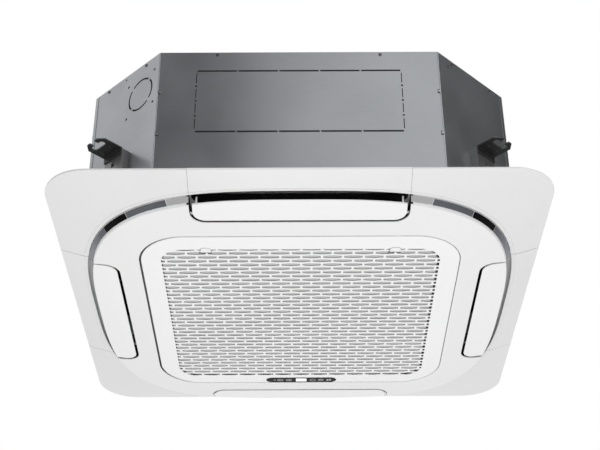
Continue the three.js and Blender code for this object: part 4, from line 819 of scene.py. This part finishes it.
bright = plated("bright_trim", 214, 196, (0.14, 0.24))
smoked = plated("smoked_trim", (122, 124, 130), (100, 102, 108), (0.16, 0.26))
window_black = finish("trim_window", 6, 4, (0.3, 0.4), scale=300, bump=0.0, cloud=20)
set_sockets(window_black.node_tree.nodes["Principled BSDF"], Specular_IOR_Level=0.08)
trim_parts = {"end": (25.0, 31.5, bright), "middle": (31.7, 42.1, smoked),
              "window": (42.3, 50.2, window_black), "side": (50.4, 65.0, smoked)}
band_rows = [(step(429.5), -22.8), (step(422.5), -31.9), (step(421.9), -31.4), (step(428.9), -22.3)]
for corner, (x, y) in enumerate(corner_signs):
    for part, (start, stop, material) in trim_parts.items():
        edges = [math.radians(a) for a in (start, stop)]
        wedge = extruded([(0, 0), *((900 * x * math.sin(a), 900 * y * math.cos(a)) for a in edges)], -60, 0)
        band = common(lofted(band_rows), wedge, corner_block(corner, 0.3))
        finished(band, f"trim_{corner + 1}_{part}", material, stands_for=[f"corner_trim_{corner + 1}"],
                 sharp=28)

# ---------------------------------------------------------------- louvers
# Four white moulded blades that close the outlets, each with a fence and a pivot pin at both ends.
# Each is flush with the middle of the panel, and its outer edge follows the step.
louver_white = moulded_white("louver_white", 248, 244, (0.32, 0.44))
blade_gap, inner_gap, blade_half = 6.0, 6.0, 419.7
fence_x, fence_half, pin_radius, pin_length = 191, 1.5, 3, 18
inner_edge = -outlet_inner - inner_gap
outer_end = -step_at(fence_x, blade_half) + 1
lower = [(-blade_half + s * (inner_edge + blade_half), -34.2 - 7.3 * s - 0.8 * 4 * s * (1 - s))
         for s in np.linspace(0, 1, 17)]
upper = [(y, z + 1.7 + 2.4 * min(1, (blade_half + y) / 14, (inner_edge - y) / 12)) for y, z in lower]
fence = ([(outer_end, -18), (outer_end, -33), (inner_edge - 8, -39.6), (pivot_y + 4, -26)]
         + arc(4, 0, math.pi, 8, (pivot_y, -26))[1:])
for turn, side_name in enumerate(side_names):
    blade = common(extruded(lower + upper[::-1], -200, 200, "X"),
                   extruded(outlet_outline(blade_gap, inner_gap, panel_half), -100, 100),
                   slab(step(blade_half), -100, 100))
    for side in (-1, 1):
        pin = placed_by(rod(pin_radius, 0, pin_length, sides=32, chamfer=0.4),
                        shifted(side * fence_x, pivot_y, pivot_z) @ turned("Y", side))
        end_wall = extruded(fence, side * fence_x - fence_half, side * fence_x + fence_half, "X")
        blade = fused(blade, end_wall, pin)
    finished(quarter(blade, turn), f"blade_{side_name}", louver_white, body=f"louver_{side_name}",
             stands_for=[f"louver_{side_name}"], bevel=0.5, sharp=30)

# ---------------------------------------------------------------- intake grille
# White moulded grille: a plain sloping border round a field of staggered slots, with two ears at
# the back to hang by. Each slot is long and flat, a little wider in its middle, with tapered edges.
grille_half, grille_radius, field_half, field_radius = 312.0, 90.4, 273.5, 47.0
border_low, field_low, field_wall, slot_margin = -46.0, -48.5, 1.2, 1.2
row_pitch, column_pitch, slot_bridge, pattern_y, rows_out, columns_out = 14.52, 40.6, 4.7, 3.5, 19, 8
grille_shift, pattern_shift = 1.4, 1.3
latch_x, latch_width, latch_front, latch_length = 183.0, 20.6, -275.0, 11.0


def slot_rows(centre, y):
    """Rows of a tapered cutter for one slot, from below upward."""
    length, ends, waist, flat = (column_pitch - slot_bridge) / 2, 3.7, 5.6, 5.0
    rows = []
    for height, grow in ((-50.5, 0.75), (-48.3, 0.5), (-47.7, 0.0), (-44.0, 0.0)):
        half = [(-length - grow, ends + grow), (-flat, waist + grow), (flat, waist + grow),
                (length + grow, ends + grow)]
        rows.append([(centre + x, y - v, height) for x, v in half]
                    + [(centre + x, y + v, height) for x, v in reversed(half)])
    return rows


def latch_outline(side, gap, rear):
    """A latch pad in plan, with its front corners rounded."""
    half, front, radius, middle = latch_width / 2 + gap, latch_front - 2.5 - gap, 7 + gap, side * latch_x
    return ([(middle + half, rear), (middle - half, rear)]
            + arc(radius, math.pi, 1.5 * math.pi, 8, (middle - half + radius, front + radius))
            + arc(radius, 1.5 * math.pi, 2 * math.pi, 8, (middle + half - radius, front + radius)))


points, faces = [], []
for row in range(-rows_out, rows_out + 1):
    for column in range(-columns_out, columns_out + 1):
        centre = column * column_pitch + (0 if row % 2 == 0 else column_pitch / 2)
        start = len(points)
        points += [p for line in slot_rows(centre, pattern_y + row * row_pitch) for p in line]
        for k in range(3):
            faces += [(start + 8 * k + i, start + 8 * k + (i + 1) % 8, start + 8 * (k + 1) + (i + 1) % 8,
                       start + 8 * (k + 1) + i) for i in range(8)]
        faces += [tuple(start + i for i in range(8))[::-1], tuple(start + 24 + i for i in range(8))]
slots = common(placed_by(solid(points, faces), shifted(pattern_shift, 0)),
               slab(square(field_half - slot_margin, field_radius - 3), -60, 0))
field = cut(slab(square(field_half + 0.5, field_radius + 0.5), field_low, field_low + field_wall), slots)
border_top = (square(grille_half - 1.6, grille_radius - 1.6), border_low)
field_edge = (square(field_half, field_radius), field_low)
border = lofted([
    (square(grille_half, grille_radius), -43), (square(grille_half, grille_radius), -45.0),
    (square(grille_half - 0.6, grille_radius - 0.6), -45.7), border_top,
    *across_rows(border_top, field_edge, shares, 0.15), field_edge,
    (square(field_half, field_radius), border_low)])
grille = fused(border, field)
hinge_y, hinge_z, hinge_x, ear_radius, ear_half, bore_radius = 302.0, -43.0, 150.0, 4, 3, 2.2
ear = ([(hinge_y - ear_radius, -45.5), (hinge_y + ear_radius, -45.5), (hinge_y + ear_radius, hinge_z)]
       + arc(ear_radius, 0, math.pi, 12, (hinge_y, hinge_z))[1:])
for side in (-1, 1):
    grille = fused(grille, extruded(ear, side * hinge_x - ear_half, side * hinge_x + ear_half, "X"))
    bore = placed_by(rod(bore_radius, -6.6, 6.6, sides=24),
                     shifted(side * hinge_x, hinge_y, hinge_z) @ turned("Y"))
    latch_room = extruded(latch_outline(side, 0.9, latch_front + 16.3), -60, 0)
    grille = cut(grille, bore, latch_room)
border_width, display_y, lens_half, lens_width, lens_gap = 41, 297.0, 80, 27, 0.3
slope = math.atan((border_low - field_low) / border_width)
on_border = (shifted(pattern_shift, display_y, field_low + (display_y - field_half) * math.tan(slope))
             @ Matrix.Rotation(slope, 4, "X"))


def stadium(half_length, width):
    radius = width / 2
    return (arc(radius, -math.pi / 2, math.pi / 2, 20, (half_length - radius, 0))
            + arc(radius, math.pi / 2, 1.5 * math.pi, 20, (-half_length + radius, 0)))


def sideways(blank):
    """Moved to where the grille hangs in its opening."""
    return placed_by(blank, shifted(grille_shift, 0))


lens_hole = extruded(stadium(lens_half + lens_gap, lens_width + 2 * lens_gap), -4, 9)
grille = cut(grille, placed_by(lens_hole, on_border))
grille_white = moulded_white("grille_white", 250, 246, (0.34, 0.46), bump=0.05)
finished(sideways(grille), "grille", grille_white, body="grille", stands_for=["intake_grille"],
         sharp=30)

# ---------------------------------------------------------------- display
# Glossy black plastic window let into the grille's border. A strip and small signs light up in it,
# made here as thin bodies that stand a little proud of its face.
lens_black = finish("lens_black", 7, 11, (0.12, 0.2), scale=300, bump=0.0, cloud=20)
set_sockets(lens_black.node_tree.nodes["Principled BSDF"], Specular_IOR_Level=0.12)
lens = placed_by(extruded(stadium(lens_half, lens_width), -0.2, 2.2), on_border)
finished(sideways(lens), "lens", lens_black, body="grille", stands_for=["display_lens"],
         bevel=0.4)
sign_low, sign_high = -0.42, -0.15


def glowing(name, colour, strength):
    """Lit plastic whose light is a little uneven."""
    material = bpy.data.materials.new(name)
    material.use_nodes = True
    tree = material.node_tree
    shader = tree.nodes["Principled BSDF"]
    set_sockets(shader, Roughness=0.4, Emission_Strength=strength, Base_Color=colour)
    uneven = placed(tree, clouds, Scale=80.0)
    tree.links.new(blended(tree, uneven.outputs["Mask"], colour, tuple(0.9 * c for c in colour)),
                   shader.inputs["Emission Color"])
    return material


lit_white = glowing("lit_strip", tint(235), 0.7)
lit_signs = glowing("lit_signs", tint(190), 0.2)
strip = placed_by(block(-12, 12, -8, 8, -0.5, sign_high), on_border)
finished(sideways(strip), "display_strip", lit_white, body="grille", bevel=0.12)


def oval(x, half_x, half_y):
    return [(x + half_x * math.cos(a), half_y * math.sin(a)) for a in np.linspace(0, 2 * math.pi, 33)[:-1]]


def sign_oval(x, half_x, half_y, width):
    outer, inner = oval(x, half_x, half_y), oval(x, half_x - width, half_y - width)
    return cut(extruded(outer, sign_low, sign_high), extruded(inner, -2, 2))


def sign_bar(x0, y0, x1, y1, width=1.3):
    along = Vector((x1 - x0, y1 - y0)).normalized() * width / 2
    return extruded([(x0 + along.y, y0 - along.x), (x1 + along.y, y1 - along.x), (x1 - along.y, y1 + along.x),
                     (x0 - along.y, y0 + along.x)], sign_low, sign_high)


signs = [sign_oval(x, 6.5, 5.4, 1.2) for x in (-48, -28.5, 26.5, 44.8)]
signs += [sign_oval(-48, 2.2, 2.0, 0.9), sign_bar(-31, -1.8, -27, 2), sign_bar(-27, -2, -25.6, 1.4)]
signs += [sign_bar(41.5, -2.4, 48, 2.6), sign_bar(-62, -3, -62, 3, 1.1), sign_bar(-59, -2, -59, 2, 1.1)]
signs += [block(x - 2.2, x + 2.2, y - 1.6, y + 1.6, sign_low, sign_high)
          for x in (60.2, 66) for y in (-2.4, 2.4)]
finished(sideways(placed_by(together(signs), on_border)), "display_signs", lit_signs, body="grille")

# ---------------------------------------------------------------- latches
# White moulded latch at each end of the grille's front border: a ribbed finger pad and a tongue.
# It slides in the border, and pushed toward the back it lets the front of the grille swing down.
pad_low, tongue_end, rib_places = -49.9, -314.2, (-271.6, -269.1, -266.6)
for side, name in ((-1, "left"), (1, "right")):
    left = side * latch_x - latch_width / 2
    pad = extruded(latch_outline(side, 0, latch_front + latch_length), pad_low, -40)
    ribs = [placed_by(rod(0.7, left + 2, left + latch_width - 2, sides=16),
                      shifted(0, y, pad_low) @ turned("Y")) for y in rib_places]
    slider = block(left + 3, left + latch_width - 3, tongue_end, latch_front + latch_length, -42.7, -40.2)
    finished(sideways(fused(cut(pad, *ribs), slider)), f"latch_{name}_pad", louver_white,
             body=f"latch_{name}", stands_for=[f"grille_latch_{name}"], bevel=0.35)

# ---------------------------------------------------------------- inside pieces
# Fan and motor, coil and pipes, drain pan and pump, electrics and filter, fitted in the casing and
# the grille. They keep the solids of the CAD model and get the finish of their material slot.
inside_finishes = {
    "foam": finish("liner_foam", 40, 26, (0.85, 0.98), scale=700, bump=0.5, depth=0.001),
    "polystyrene": finish("pan_polystyrene", 235, 222, (0.8, 0.95), scale=350, bump=0.3, depth=0.0008),
    "fan_plastic": finish("fan_plastic", 205, 188, (0.42, 0.55), scale=1200, bump=0.08),
    "fins": finish("coil_fins", 190, 150, (0.3, 0.45), metallic=0.9, scale=500, stretch=0.02, bump=0.8,
                   depth=0.001),
    "copper": finish("copper_tube", (196, 128, 88), (140, 84, 60), (0.24, 0.42), metallic=1, scale=600,
                     cloud=30),
    "brass": finish("brass_nut", (206, 172, 92), (170, 136, 70), (0.25, 0.4), metallic=1, scale=800,
                    scuffs_and_highlights_colour=(230, 205, 140)),
    "motor_steel": finish("motor_paint", 140, 118, (0.4, 0.55), metallic=0.5, bump=0.08, scuffs_and_highlights_colour=190),
    "black_rubber": finish("rubber", 30, 22, (0.75, 0.9), bump=0.1),
    "filter_mesh": finish("filter_net", 196, 184, (0.8, 0.9), bump=0.4),
    "green_board": finish("board_green", (44, 104, 62), (30, 78, 46), (0.35, 0.5), scale=500, bump=0.1),
    "casing_steel": galvanised, "panel_white": base_white, "display_black": lens_black,
}
slot_of = {item["node"]: item["material_slot"] for item in frame["record"]["subparts"]}
for name, part in frame["nodes"].items():
    if part.hide_render:
        continue
    part.data.materials.clear()
    part.data.materials.append(inside_finishes[slot_of[name]])
